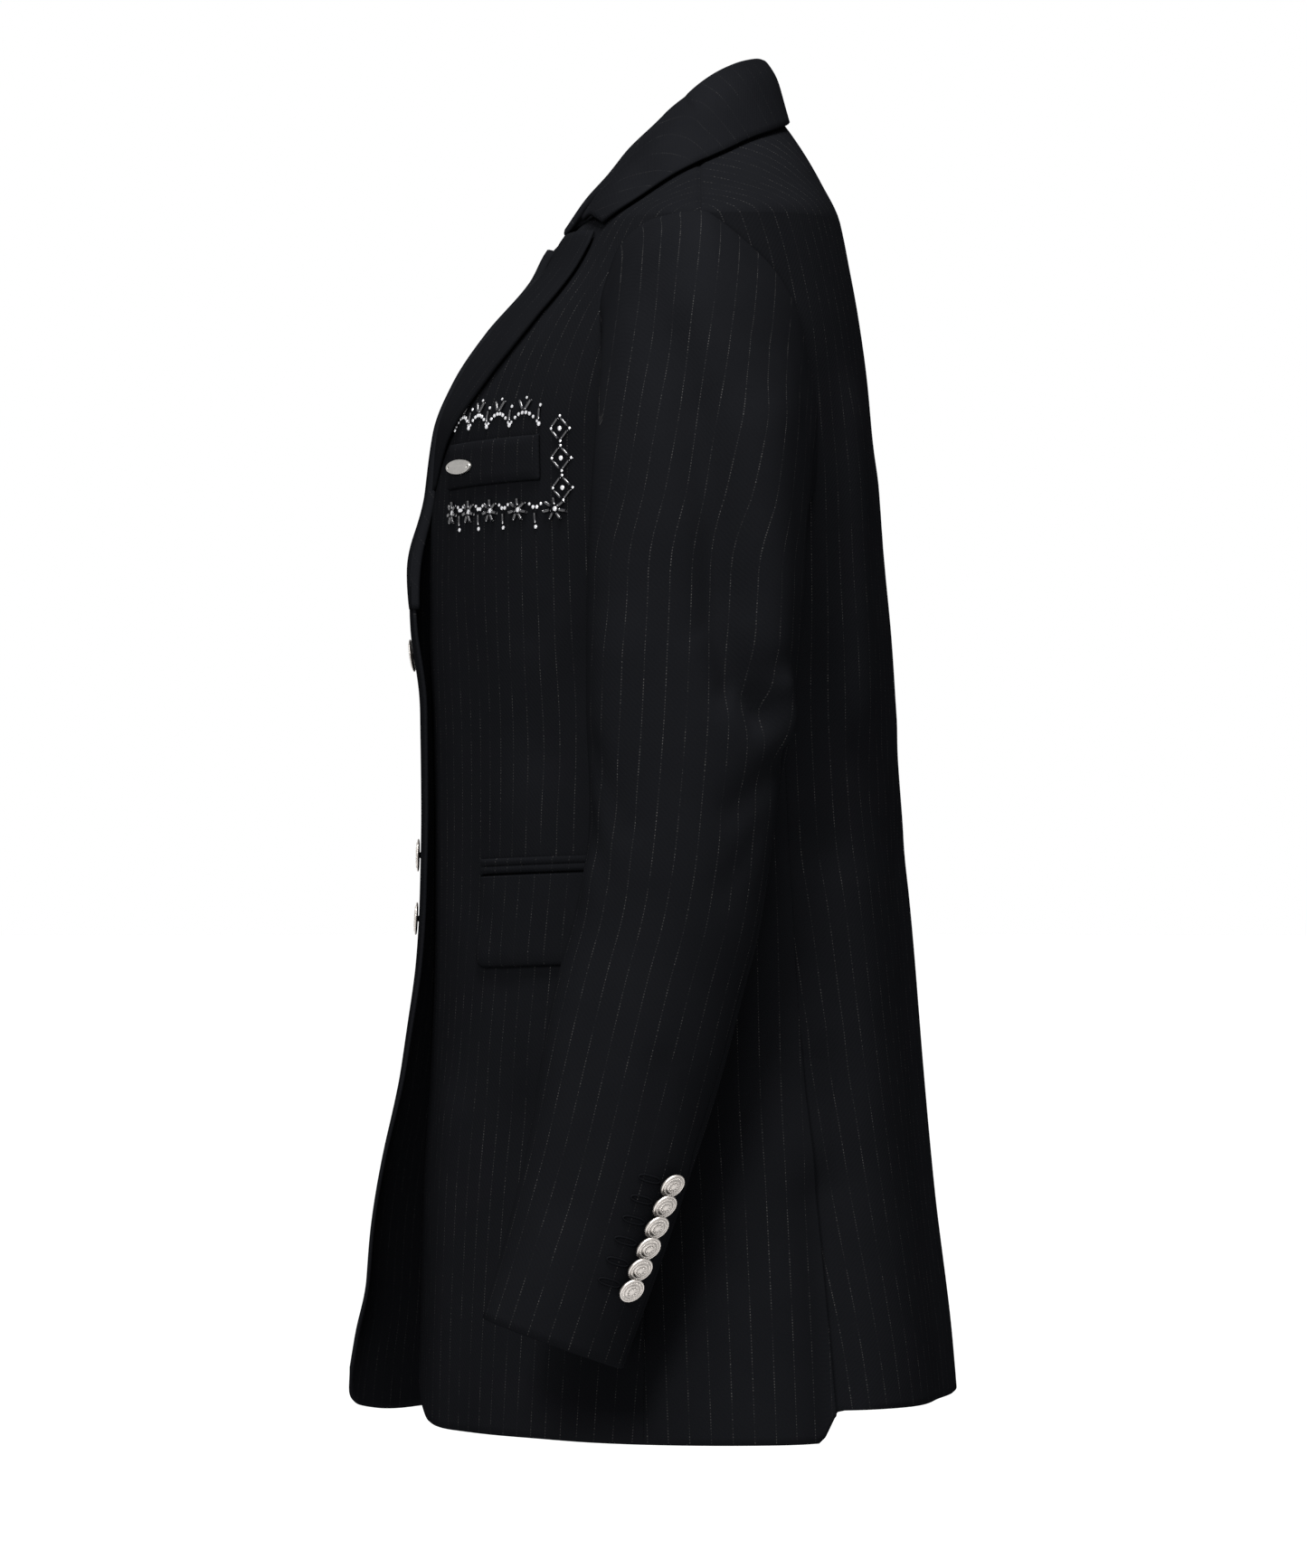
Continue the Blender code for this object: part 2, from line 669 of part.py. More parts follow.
def front(side, material):
    """A front, from its edge and roll to the side seam, armhole and shoulder seam."""
    def angle_of(s, z):
        edge = angle_at_x(edge_x(z, side), z)
        outer = outer_angle(z, False) - seam_step(z)
        return side * (edge + (outer - edge) * s)

    def edge_of(z):
        return angle_at_x(edge_x(z, side), z)

    name = "front_left" if side > 0 else "front_right"
    panel(name, angle_of, lambda s, f: f, FRONT_HEIGHTS, FRONT_COLUMNS, side, material, edge_of)


def vent(z):
    """0 above the side vents and 1 where the back passes under the side panel."""
    return step(-z, VENT_TOP, VENT_TOP + VENT_EASE)


def vent_sink(z):
    """How deep the back's edge lies at a height. It sinks just before it laps."""
    return VENT_SINK * step(-z, VENT_TOP - VENT_EASE, VENT_TOP)


def back_half(side, material):
    """Half of the back, from the centre back seam to the side seam, armhole and shoulder seam."""
    def angle_of(s, z):
        outer = outer_angle(z, True) + seam_step(z) - VENT_LAP_ANGLE * vent(z)
        centre = 180 - seam_step(z)
        return side * (outer + (centre - outer) * s)

    def lift(s, z):
        return -vent_sink(z) * (1 - step(s, BACK_COLUMNS[1], BACK_COLUMNS[3]))

    name = "back_left" if side > 0 else "back_right"
    panel(name, angle_of, lambda s, f: f, BACK_HEIGHTS, BACK_COLUMNS, 0, material, lift=lift)


def side_panel(side, material):
    """The panel under the arm, from the hem to the bottom of the armhole."""
    def angle_of(s, z):
        low = angle_at_y(seam_y(z, False), z) + seam_step(z)
        high = angle_at_y(seam_y(z, True), z) - seam_step(z)
        angle = low + (high - low) * s
        if z > LOW_TOP_Z:
            angle = min(max(angle_at_y(armhole_place(ring_of(s))[0], z), low), high)
        return side * angle

    def ring_of(s):
        return SIDE_FRONT_ANGLE + (SIDE_BACK_ANGLE - 360 - SIDE_FRONT_ANGLE) * s

    def z_of(s, f):
        return armhole_place(ring_of(s))[1] if f is None else f

    name = "side_left" if side > 0 else "side_right"
    panel(name, angle_of, z_of, LOW_HEIGHTS + [None], spread(0, 1, SIDE_COLS), 0, material)


# Sleeves
def armhole_point(angle):
    """Point of the left armhole on the body at a ring angle, and the body's normal there."""
    y, z = armhole_place(angle)
    place = angle_at_y(y, z)
    return body(place, z), normal_of(body, place, z)


ARMHOLE_MIDDLE = np.array([0.190, -0.005, -0.150])


def off_panel(angle):
    """Direction along the cloth from the armhole's edge into the armhole."""
    start, normal = armhole_point(angle)
    tangent = armhole_point(angle + 2)[0] - armhole_point(angle - 2)[0]
    off = np.cross(normal, tangent)
    off /= np.linalg.norm(off)
    return off if np.dot(off, ARMHOLE_MIDDLE - start) > 0 else -off


def ring_point(angle, z):
    """Point of the left sleeve below the cap at a ring angle and a height of its centre."""
    x, y, half_y, half_x, tilt = [curve.at(z) for curve in RING_CURVES]
    turn = math.radians(angle)
    across = -half_y * math.cos(turn)
    lean = math.radians(tilt)
    return np.array([
        x + half_x * math.sin(turn),
        y + across * math.cos(lean),
        z - across * math.sin(lean),
    ])


def under_part(angle):
    """0 over the cap and 1 under the arm, where the sleeve turns down over the side panel."""
    return step(-math.sin(math.radians(angle)), 0.55, 0.97)


def cap_point(angle, t):
    """Point between the armhole and the first ring below the cap."""
    start = armhole_point(angle)[0] + off_panel(angle) * CAP_GAP
    end = ring_point(angle, SLEEVE_RINGS[0][0])
    under = under_part(angle)
    reach = np.linalg.norm(end - start)
    slope = CAP["slope"] * (1 - under) + CAP["under_slope"] * under
    strength = CAP["out"] * reach * (1 - under) + CAP["under_out"] * under
    out = np.array([1.0, 0.0, slope]) * strength
    down = np.array([0, 0, -CAP["down"] * reach])
    from_start = (1 + 2 * t) * (1 - t) ** 2
    from_out = t * (1 - t) ** 2
    from_end = t * t * (3 - 2 * t)
    from_down = t * t * (t - 1)
    return from_start * start + from_out * out + from_end * end + from_down * down


def sleeve_point(angle, u, folds):
    """Point of the left sleeve: u runs 0 to 1 over the cap and 1 to 2 down to the cuff."""
    top = SLEEVE_RINGS[0][0]
    cuff = SLEEVE_RINGS[-1][0]
    if u <= 1:
        point = cap_point(angle, u)
        z = point[2]
        fade = step(u, 0.15, 0.6)
    else:
        z = top + (cuff - top) * (u - 1)
        point = ring_point(angle, z)
        fade = 1 - 0.6 * step(u, 1.85, 2.0)
    turn = math.radians(angle)
    out = np.array([math.sin(turn), -math.cos(turn), 0.0])
    span = (angle + 180) % 360 - 180
    depth = fold_depth(folds, span, z, SLEEVE_FOLD_RADIUS)
    return point + out * depth * fade


def hind_seam(u):
    """Ring angle of the sleeve's back seam."""
    return HIND_SEAM_ANGLE - HIND_SEAM_TURN * step(u, SEAM_TURN_FROM, SEAM_TURN_TO)


def front_seam(u):
    """Ring angle of the sleeve's front seam, on its inner side."""
    return FRONT_SEAM_ANGLE + FRONT_SEAM_TURN * step(u, SEAM_TURN_FROM, SEAM_TURN_TO)


def sleeve_grid(start, end, cols, folds):
    """Outer and inner grids of a sleeve piece between two seams."""
    rows = spread(0, 1, CAP_RINGS) + spread(1, 2, ARM_RINGS)[1:]
    outer = []
    inner = []
    for u in rows:
        outer_row = []
        inner_row = []
        gap = math.degrees(SEAM_GAP * 0.6 / 0.045)
        low = start(u) + gap
        high = end(u) - gap
        for s in spread(0, 1, cols):
            angle = low + (high - low) * s
            point = sleeve_point(angle, u, folds)
            ahead = sleeve_point(angle, min(u + 0.02, 2.0), folds)
            behind = sleeve_point(angle, max(u - 0.02, 0.0), folds)
            left = sleeve_point(angle - 1, u, folds)
            right = sleeve_point(angle + 1, u, folds)
            normal = np.cross(right - left, behind - ahead)
            normal /= np.linalg.norm(normal)
            turn = math.radians(angle)
            outward = np.array([math.sin(turn), -math.cos(turn), 0.0])
            if np.dot(normal, outward) < 0 and u > 0.5:
                normal = -normal
            if u < 0.12:
                under = under_part(angle)
                panel_normal = armhole_point(angle)[1]
                rim = panel_normal * (1 - under) + np.array([0, 0, -1.0]) * under
                normal = rim / np.linalg.norm(rim)
            outer_row.append(point)
            inner_row.append(point - normal * WALL)
        outer.append(outer_row)
        inner.append(inner_row)
    return np.array(outer), np.array(inner)


def mirror(grid, side):
    """The grid as it is, or turned to the wearer's right."""
    flip = np.array([1.0, 1.0, 1.0]) if side > 0 else np.array([-1.0, 1.0, 1.0])
    return grid * flip


def sleeve(side, material):
    """A two-piece sleeve: the top sleeve outside and the under sleeve against the body."""
    folds = SLEEVE_FOLDS_LEFT if side > 0 else SLEEVE_FOLDS_RIGHT
    end = "_left" if side > 0 else "_right"
    outer, inner = sleeve_grid(front_seam, hind_seam, TOP_SLEEVE_COLS, folds)
    wall("top_sleeve" + end, mirror(outer, side), mirror(inner, side), material)
    outer, inner = sleeve_grid(hind_seam, lambda u: front_seam(u) + 360, UNDER_SLEEVE_COLS, folds)
    wall("under_sleeve" + end, mirror(outer, side), mirror(inner, side), material)


# Lapels and collar
LAPEL_HEIGHTS = [z for z in FRONT_HEIGHTS if LOW_TOP_Z - 0.01 < z < LAPEL_TOP_Z - 0.002]


def lapel_edge_x(z, side):
    """Distance of the lapel's outer edge from the centre. The right one starts lower."""
    foot = LAPEL_FOOT_LEFT if side > 0 else LAPEL_FOOT_RIGHT
    part = (z - foot) / (LAPEL_TOP_Z - foot)
    height = LAPEL_FOOT_LEFT + (LAPEL_TOP_Z - LAPEL_FOOT_LEFT) * part
    x = LAPEL_CURVE.at(height)
    if side < 0:
        x -= RIGHT_LAPEL["narrower"] * (1 - step(part, 0, RIGHT_LAPEL["until"]))
    return x


def lapel(side, material):
    """The lapel, turned back along the roll and lying on the front."""
    foot = LAPEL_FOOT_LEFT if side > 0 else LAPEL_FOOT_RIGHT
    heights = [foot + LAPEL_TIP] + [z for z in LAPEL_HEIGHTS if z > foot + 2 * LAPEL_TIP] + [LAPEL_TOP_Z]
    outer = []
    inner = []
    surface = surface_of(side)
    for z in heights:
        roll = edge_x(z, side)
        edge = max(lapel_edge_x(z, side), roll + LAPEL_LEAST_WIDTH)
        outer_row = []
        inner_row = []
        for s in LAPEL_COLUMNS:
            x = roll + (edge - roll) * s
            angle = side * angle_at_x(x, z)
            point = surface(angle, z)
            normal = normal_of(surface, angle, z)
            low = point + normal * (LAY_ON + LAPEL_BELLY * math.sin(math.pi * s) + LAPEL_EDGE_UP * s)
            high = low + normal * WALL
            if s == 0.0:
                low = point + normal * WALL * 0.1 + np.array([-side * 0.0009, -0.0006, 0])
                high = point + normal * WALL * 0.9 + np.array([-side * 0.0024, -0.0012, 0])
            outer_row.append(high)
            inner_row.append(low)
        outer.append(outer_row)
        inner.append(inner_row)
    name = "lapel_left" if side > 0 else "lapel_right"
    wall(name, outer, inner, material)


def stations(table):
    """Curves through a table of points, from 0 at its first row to 1 at its last."""
    places = np.linspace(0, 1, len(table))
    return [Curve(places, table[:, k]) for k in range(table.shape[1])]


ROLL_STATIONS = stations(COLLAR_ROLL)
FALL_STATIONS = stations(COLLAR_EDGE)
STAND_STATIONS = stations(COLLAR_SEAM)


def station(lines, t):
    """Point of the curves of a table at a place from 0 to 1 along it."""
    return np.array([line.at(t) for line in lines])


def collar_section(t):
    """Cross-section of the left half of the collar at a place from the centre back to the notch."""
    roll = station(ROLL_STATIONS, t)
    edge_angle, edge_z = station(FALL_STATIONS, t)
    surface = surface_of(1 if edge_angle < 90 else 0)
    edge = surface(edge_angle, edge_z)
    normal = normal_of(surface, edge_angle, edge_z)
    edge = edge + normal * (WALL / 2 + COLLAR_STANDS_OFF)
    if t <= 0.5:
        seam_angle, seam_z = station(STAND_STATIONS, t / 0.5)
        seam = body(seam_angle, seam_z)
        seam_normal = normal_of(surface_of(0), seam_angle, seam_z)
        seam = seam - seam_normal * WALL / 2 + np.array([0, 0, STAND_TOP_UP])
    else:
        seam_z = STAND_FRONT["start_z"] + (STAND_FRONT["end_z"] - STAND_FRONT["start_z"]) * (t - 0.5) / 0.5
        angle = angle_at_x(edge_x(seam_z, 1) - STAND_FRONT["inside"], seam_z)
        seam = body(angle, seam_z, 1) + np.array([0, STAND_FRONT["back"], STAND_FRONT["up"]])
    flat = edge - seam
    flat[2] = 0
    flat /= np.linalg.norm(flat)
    up = np.array([0, 0, 1.0])
    tall = max(roll[2] - seam[2], 0.006)
    wide = COLLAR_ROLL_WIDTH
    points = [
        seam,
        seam + (roll - seam) * 0.5 - flat * 0.0010,
        roll - flat * wide * 0.8 - up * min(0.006, tall * 0.3),
        roll - flat * wide * 0.1,
        roll + flat * wide * 1.0 - up * 0.0020,
        roll + (edge - roll) * 0.35 + flat * 0.0030 + up * 0.0020,
        roll + (edge - roll) * 0.70 + flat * 0.0016 + up * 0.0010,
        edge,
    ]
    return np.array(points)


def grid_walls(mid, thickness):
    """Outer and inner grids half a thickness to each side of a middle grid."""
    rows, cols = mid.shape[:2]
    outer = np.zeros_like(mid)
    inner = np.zeros_like(mid)
    for i in range(rows):
        for j in range(cols):
            along = mid[min(i + 1, rows - 1), j] - mid[max(i - 1, 0), j]
            across = mid[i, min(j + 1, cols - 1)] - mid[i, max(j - 1, 0)]
            normal = np.cross(along, across)
            normal /= np.linalg.norm(normal)
            outer[i, j] = mid[i, j] + normal * thickness / 2
            inner[i, j] = mid[i, j] - normal * thickness / 2
    return outer, inner


def collar(material):
    """Stand and fall in one wall, from notch to notch round the back of the neck."""
    half = [collar_section(t) for t in np.linspace(0, 1, COLLAR_STATIONS)]
    right = [points * np.array([-1.0, 1, 1]) for points in half[:0:-1]]
    mid = np.array(right + half)
    outer, inner = grid_walls(mid, WALL)
    wall("collar", outer, inner, material)


# Pieces on the panels
def patch(name, shape, side, material, stand=LAY_ON, rows=3, cols=9):
    """A flat piece lying on a front between two distances from the centre."""
    outer = []
    inner = []
    surface = surface_of(side)
    for f in spread(0, 1, rows):
        outer_row = []
        inner_row = []
        for s in spread(0, 1, cols):
            low = shape["low0"] + (shape["low1"] - shape["low0"]) * s
            z = low + shape["tall"] * f
            start = angle_at_x(shape["x0"], z)
            finish = angle_at_x(shape["x1"], z)
            angle = side * (start + (finish - start) * s)
            point = surface(angle, z)
            normal = normal_of(surface, angle, z)
            inner_row.append(point + normal * stand)
            outer_row.append(point + normal * (stand + shape["thick"]))
        outer.append(outer_row)
        inner.append(inner_row)
    return wall(name, outer, inner, material)


def disc(name, size, seat, face, up, material):
    """A turned button or plate with a rolled rim: a profile with a Screw modifier, its back on a seat."""
    mesh = bpy.data.meshes.new(name)
    points = [(r * size["radius"], 0, h * size["tall"]) for r, h in BUTTON_PROFILE]
    mesh.from_pydata(points, [(k, k + 1) for k in range(len(points) - 1)], [])
    mesh.materials.append(material)
    piece = bpy.data.objects.new(name, mesh)
    bpy.data.collections[NAME].objects.link(piece)
    screw = piece.modifiers.new("turned", "SCREW")
    screw.steps = size["steps"]
    screw.render_steps = size["steps"]
    screw.use_merge_vertices = True
    screw.merge_threshold = 0.00001
    z_axis = Vector(face).normalized()
    x_axis = Vector(up).cross(z_axis).normalized()
    y_axis = z_axis.cross(x_axis) * size["squash"]
    place = Matrix((x_axis, y_axis, z_axis)).transposed().to_4x4()
    place.translation = Vector(seat)
    piece.matrix_world = place


def cuff_buttons(side, material):
    """Six metal buttons down the back of a cuff, each lapping the one below it."""
    folds = SLEEVE_FOLDS_LEFT if side > 0 else SLEEVE_FOLDS_RIGHT
    top = SLEEVE_RINGS[0][0]
    cuff = SLEEVE_RINGS[-1][0]
    end = "left" if side > 0 else "right"
    for k in range(CUFF_BUTTONS):
        part = k / (CUFF_BUTTONS - 1)
        z = CUFF_FIRST["z"] + (CUFF_LAST["z"] - CUFF_FIRST["z"]) * part
        angle = CUFF_FIRST["angle"] + (CUFF_LAST["angle"] - CUFF_FIRST["angle"]) * part
        u = 1 + (z - top) / (cuff - top)
        point = sleeve_point(angle, u, folds)
        across = sleeve_point(angle + 2, u, folds) - sleeve_point(angle - 2, u, folds)
        along = sleeve_point(angle, u - 0.02, folds) - sleeve_point(angle, u + 0.02, folds)
        along /= np.linalg.norm(along)
        normal = np.cross(across, along)
        normal /= np.linalg.norm(normal)
        lean = math.radians(CUFF_TILT)
        face = normal * math.cos(lean) - along * math.sin(lean)
        seat = point + normal * (BUTTON_STANDS_OFF + CUFF_BUTTON["radius"] * math.sin(lean) * CUFF_SEAT)
        flip = np.array([side, 1.0, 1.0])
        name = "cuff_button_" + end + "_" + str(k + 1)
        disc(name, CUFF_BUTTON, seat * flip, face * flip, along * flip, material)


def front_buttons(material):
    """Three metal buttons that close the right front over the left."""
    surface = surface_of(-1)
    for k, z in enumerate(FRONT_BUTTON_Z):
        angle = angle_at_x(FRONT_BUTTON_X, z)
        point = surface(angle, z)
        normal = normal_of(surface, angle, z)
        name = "front_button_" + str(k + 1)
        disc(name, FRONT_BUTTON, point + normal * FRONT_BUTTON_OFF, normal, (0, 0, 1), material)


def breast_plate(material):
    """The small oval metal plate on the breast welt."""
    surface = surface_of(1)
    angle = angle_at_x(PLATE["x"], PLATE["z"])
    point = surface(angle, PLATE["z"])
    normal = normal_of(surface, angle, PLATE["z"])
    seat = point + normal * (LAY_ON + WELT["thick"] + BUTTON_STANDS_OFF)
    disc("breast_plate", PLATE, seat, normal, (0, 0, 1), material)


def surface_material(name, colour, metallic, roughness):
    """A plain Principled material."""
    material = bpy.data.materials.new(name)
    material.use_nodes = True
    shader = material.node_tree.nodes["Principled BSDF"]
    shader.inputs["Base Color"].default_value = (*colour, 1.0)
    shader.inputs["Metallic"].default_value = metallic
    shader.inputs["Roughness"].default_value = roughness
    return material


def main():
    """Clears the scene and builds every piece of the jacket."""
    for old in list(bpy.data.objects):
        bpy.data.objects.remove(old)
    bpy.context.scene.collection.children.link(bpy.data.collections.new(NAME))
    for side in (1, -1):
        end = "_left" if side > 0 else "_right"
        front(side, surface_material("front_wool" + end, WOOL, 0.0, 0.9))
        side_panel(side, surface_material("side_wool" + end, WOOL, 0.0, 0.9))
        back_half(side, surface_material("back_wool" + end, WOOL, 0.0, 0.9))
        sleeve(side, surface_material("sleeve_wool" + end, WOOL, 0.0, 0.9))
        lapel(side, surface_material("lapel_wool" + end, WOOL, 0.0, 0.9))
        patch("pocket_jet" + end, JETS, side, surface_material("jet_wool" + end, WOOL, 0.0, 0.9), rows=1)
        patch("pocket_flap" + end, FLAP, side, surface_material("flap_wool" + end, WOOL, 0.0, 0.9))
        cuff_buttons(side, surface_material("cuff_metal" + end, METAL, 1.0, 0.38))
    collar(surface_material("collar_wool", WOOL, 0.0, 0.9))
    patch("breast_welt", WELT, 1, surface_material("welt_wool", WOOL, 0.0, 0.9), rows=2)
    breast_plate(surface_material("plate_metal", METAL, 1.0, 0.42))
    front_buttons(surface_material("front_metal", METAL, 1.0, 0.38))


main()
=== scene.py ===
"""The look of a long striped wool jacket: finer cloth on its solids, metal buttons and beading.

Metres, +Z up. The wearer faces -Y and the wearer's left is +X.
"""

import math

import bpy
import numpy as np
from mathutils import Matrix, Vector


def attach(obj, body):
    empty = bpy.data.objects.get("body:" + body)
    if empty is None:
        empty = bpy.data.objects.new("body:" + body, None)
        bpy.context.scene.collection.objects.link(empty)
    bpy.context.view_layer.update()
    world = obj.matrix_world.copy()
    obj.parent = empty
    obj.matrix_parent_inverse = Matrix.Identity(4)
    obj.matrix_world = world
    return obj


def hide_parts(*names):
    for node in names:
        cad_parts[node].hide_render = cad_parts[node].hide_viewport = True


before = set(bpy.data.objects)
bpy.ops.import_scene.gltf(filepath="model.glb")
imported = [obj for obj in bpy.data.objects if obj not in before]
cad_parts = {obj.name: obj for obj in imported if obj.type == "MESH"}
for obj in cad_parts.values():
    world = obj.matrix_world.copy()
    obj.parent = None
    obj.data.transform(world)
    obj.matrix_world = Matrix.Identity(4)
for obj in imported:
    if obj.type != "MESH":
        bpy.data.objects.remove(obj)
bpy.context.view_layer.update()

# Driving sizes of the form. A gap below 0 is an overlap, so that no light shows through a seam
WALL = 0.002
SEAM_HALF_GAP = -0.00012
BACK_SEAM_LAP = 0.00015
HEM_Z = -0.731
BACK_HEM_RISE = 0.0175
BACK_HEM_ANGLES = (106, 112)
MID_BACK_RISE = 0.002
MID_BACK_ANGLES = (150, 180)
TOP_Z = -0.006
NECK_RISE = 0.016
NECK_RISE_FROM = -0.075
SHOULDER_Z = -0.052
CORNER_WIDTH = 0.075
CORNER_RISE = 0.03
LAY_ON = 0.0009
CAP_GAP = -0.0012
VENT_TOP = 0.53
VENT_LAP_ANGLE = 3.5
VENT_EASE = 0.03
VENT_SINK = 0.0034
BODY_FOLD_RADIUS = 0.17
BODY_FOLD_DEPTHWISE = 0.65
SLEEVE_FOLD_RADIUS = 0.053
SLEEVE_RADIUS = 0.045
ROLL_SPREAD = 0.022
CORNER_RADIUS_OF_TURN = 0.15
HEM_FADE = 0.24

SECTIONS = np.array([
    # z, half_width, mid_y, front, back, front_power, back_power
    (-0.76, 0.228, 0.012, 0.156, 0.153, 2.05, 2.15),
    (-0.69, 0.221, 0.011, 0.155, 0.148, 2.05, 2.15),
    (-0.604, 0.209, 0.009, 0.153, 0.1385, 2.05, 2.2),
    (-0.531, 0.199, 0.007, 0.149, 0.132, 2.05, 2.25),
    (-0.463, 0.191, 0.005, 0.147, 0.1265, 2.0, 2.3),
    (-0.4, 0.187, 0.003, 0.147, 0.1205, 1.95, 2.35),
    (-0.34, 0.187, 0.001, 0.148, 0.1155, 1.9, 2.4),
    (-0.28, 0.189, 0.0, 0.15, 0.111, 1.88, 2.45),
    (-0.24, 0.191, 0.0, 0.15, 0.107, 1.88, 2.45),
    (-0.2, 0.194, -0.002, 0.148, 0.104, 1.88, 2.45),
    (-0.166, 0.196, -0.004, 0.1445, 0.101, 1.9, 2.4),
    (-0.138, 0.198, -0.006, 0.134, 0.0985, 1.92, 2.35),
    (-0.108, 0.2, -0.008, 0.1145, 0.0945, 1.95, 2.3),
    (-0.08, 0.2, -0.01, 0.089, 0.09, 2.0, 2.2),
    (-0.052, 0.197, -0.012, 0.069, 0.084, 2.0, 2.1),
    (-0.034, 0.152, -0.008, 0.048, 0.074, 2.0, 2.05),
    (-0.004, 0.078, -0.002, 0.03, 0.053, 2.0, 2.0),
])
FRONT_EDGES = np.array([
    # z, left, right
    (-0.76, -0.02, -0.02),
    (-0.3, -0.02, -0.02),
    (-0.272, -0.015, -0.018),
    (-0.25, -0.006, -0.012),
    (-0.225, 0.004, -0.002),
    (-0.204, 0.011, 0.007),
    (-0.18, 0.016, 0.015),
    (-0.148, 0.026, 0.026),
    (-0.128, 0.035, 0.035),
    (-0.102, 0.046, 0.046),
    (-0.079, 0.055, 0.055),
    (-0.06, 0.061, 0.061),
    (-0.052, 0.068, 0.068),
    (-0.046, 0.0725, 0.0725),
    (-0.028, 0.079, 0.079),
    (-0.004, 0.0805, 0.0805),
])
LAPEL_EDGE = np.array([
    # z, x
    (-0.204, 0.0125),
    (-0.1767, 0.042),
    (-0.1655, 0.057),
    (-0.154, 0.072),
    (-0.138, 0.088),
    (-0.124, 0.1),
    (-0.1076, 0.11),
    (-0.093, 0.116),
    (-0.0805, 0.1175),
    (-0.066, 0.118),
    (-0.059, 0.115),
])
LAPEL_TOP_Z = -0.059
LAPEL_FOOT_LEFT = -0.204
LAPEL_FOOT_RIGHT = -0.272
RIGHT_LAPEL = {"narrower": 0.0285, "until": 0.35}
LAPEL_BELLY = 0.0022
LAPEL_FOOT_SINK = 0.0013
LAPEL_FOOT_SOFT = 0.045
LAPEL_EDGE_UP = 0.0006
LAPEL_LEAST_WIDTH = 0.004
ROLL_LIFT = np.array([
    # z, lift
    (-0.3, 0.0),
    (-0.125, 0.0),
    (-0.102, 0.0),
    (-0.079, 0.001),
    (-0.06, 0.0035),
    (-0.052, 0.0025),
    (-0.046, 0.0015),
    (-0.028, 0.0005),
    (-0.004, 0.0),
])
ARMHOLE = np.array([
    # angle, y, z
    (-90, -0.004, -0.245),
    (-65, -0.036, -0.231),
    (-45, -0.052, -0.206),
    (-25, -0.061, -0.172),
    (-5, -0.0645, -0.1365),
    (10, -0.0645, -0.105),
    (25, -0.0595, -0.084),
    (40, -0.052, -0.067),
    (60, -0.036, -0.0555),
    (90, -0.012, -0.052),
    (105, 0.0, -0.059),
    (120, 0.012, -0.0685),
    (135, 0.029, -0.084),
    (150, 0.0405, -0.103),
    (165, 0.048, -0.13),
    (185, 0.054, -0.16),
    (205, 0.054, -0.19),
    (225, 0.046, -0.218),
    (245, 0.028, -0.239),
    (270, -0.004, -0.245),
])
SIDE_SEAMS = np.array([
    # z, front_y, back_y
    (-0.76, -0.046, 0.066),
    (-0.6, -0.043, 0.054),
    (-0.54, -0.041, 0.047),
    (-0.445, -0.037, 0.041),
    (-0.3, -0.04, 0.037),
])
FLARE = np.array([
    # z, forward
    (-0.76, 0.041),
    (-0.705, 0.0352),
    (-0.671, 0.03),
    (-0.63, 0.0278),
    (-0.588, 0.023),
    (-0.536, 0.015),
    (-0.505, 0.0115),
    (-0.47, 0.0075),
    (-0.44, 0.0055),
    (-0.4, 0.0045),
    (-0.34, 0.0036),
    (-0.315, 0.002),
    (-0.275, 0.0),
])
BODY_FOLDS = np.array([
    # angle0, z0, angle1, z1, width, depth
    (140, -0.17, 133, -0.32, 0.026, 0.006),
    (118, -0.15, 112, -0.4, 0.024, -0.007),
    (108, -0.6, 110, -0.74, 0.02, -0.007),
    (126, -0.43, 132, -0.74, 0.03, 0.005),
    (152, -0.42, 150, -0.74, 0.026, -0.0045),
    (66, -0.25, 52, -0.35, 0.026, -0.0055),
    (28, -0.3, 26, -0.43, 0.028, -0.003),
    (20, -0.56, 17, -0.74, 0.024, 0.0045),
    (44, -0.56, 47, -0.74, 0.03, -0.005),
    (-136, -0.19, -131, -0.35, 0.028, 0.0055),
    (-117, -0.16, -113, -0.38, 0.024, -0.0065),
    (-110, -0.61, -108, -0.74, 0.02, -0.0065),
    (-130, -0.45, -134, -0.74, 0.03, 0.0055),
    (-154, -0.4, -151, -0.74, 0.024, -0.004),
    (-64, -0.26, -54, -0.34, 0.026, -0.005),
    (-27, -0.31, -25, -0.44, 0.028, -0.003),
    (-50, -0.54, -54, -0.74, 0.032, -0.0055),
])
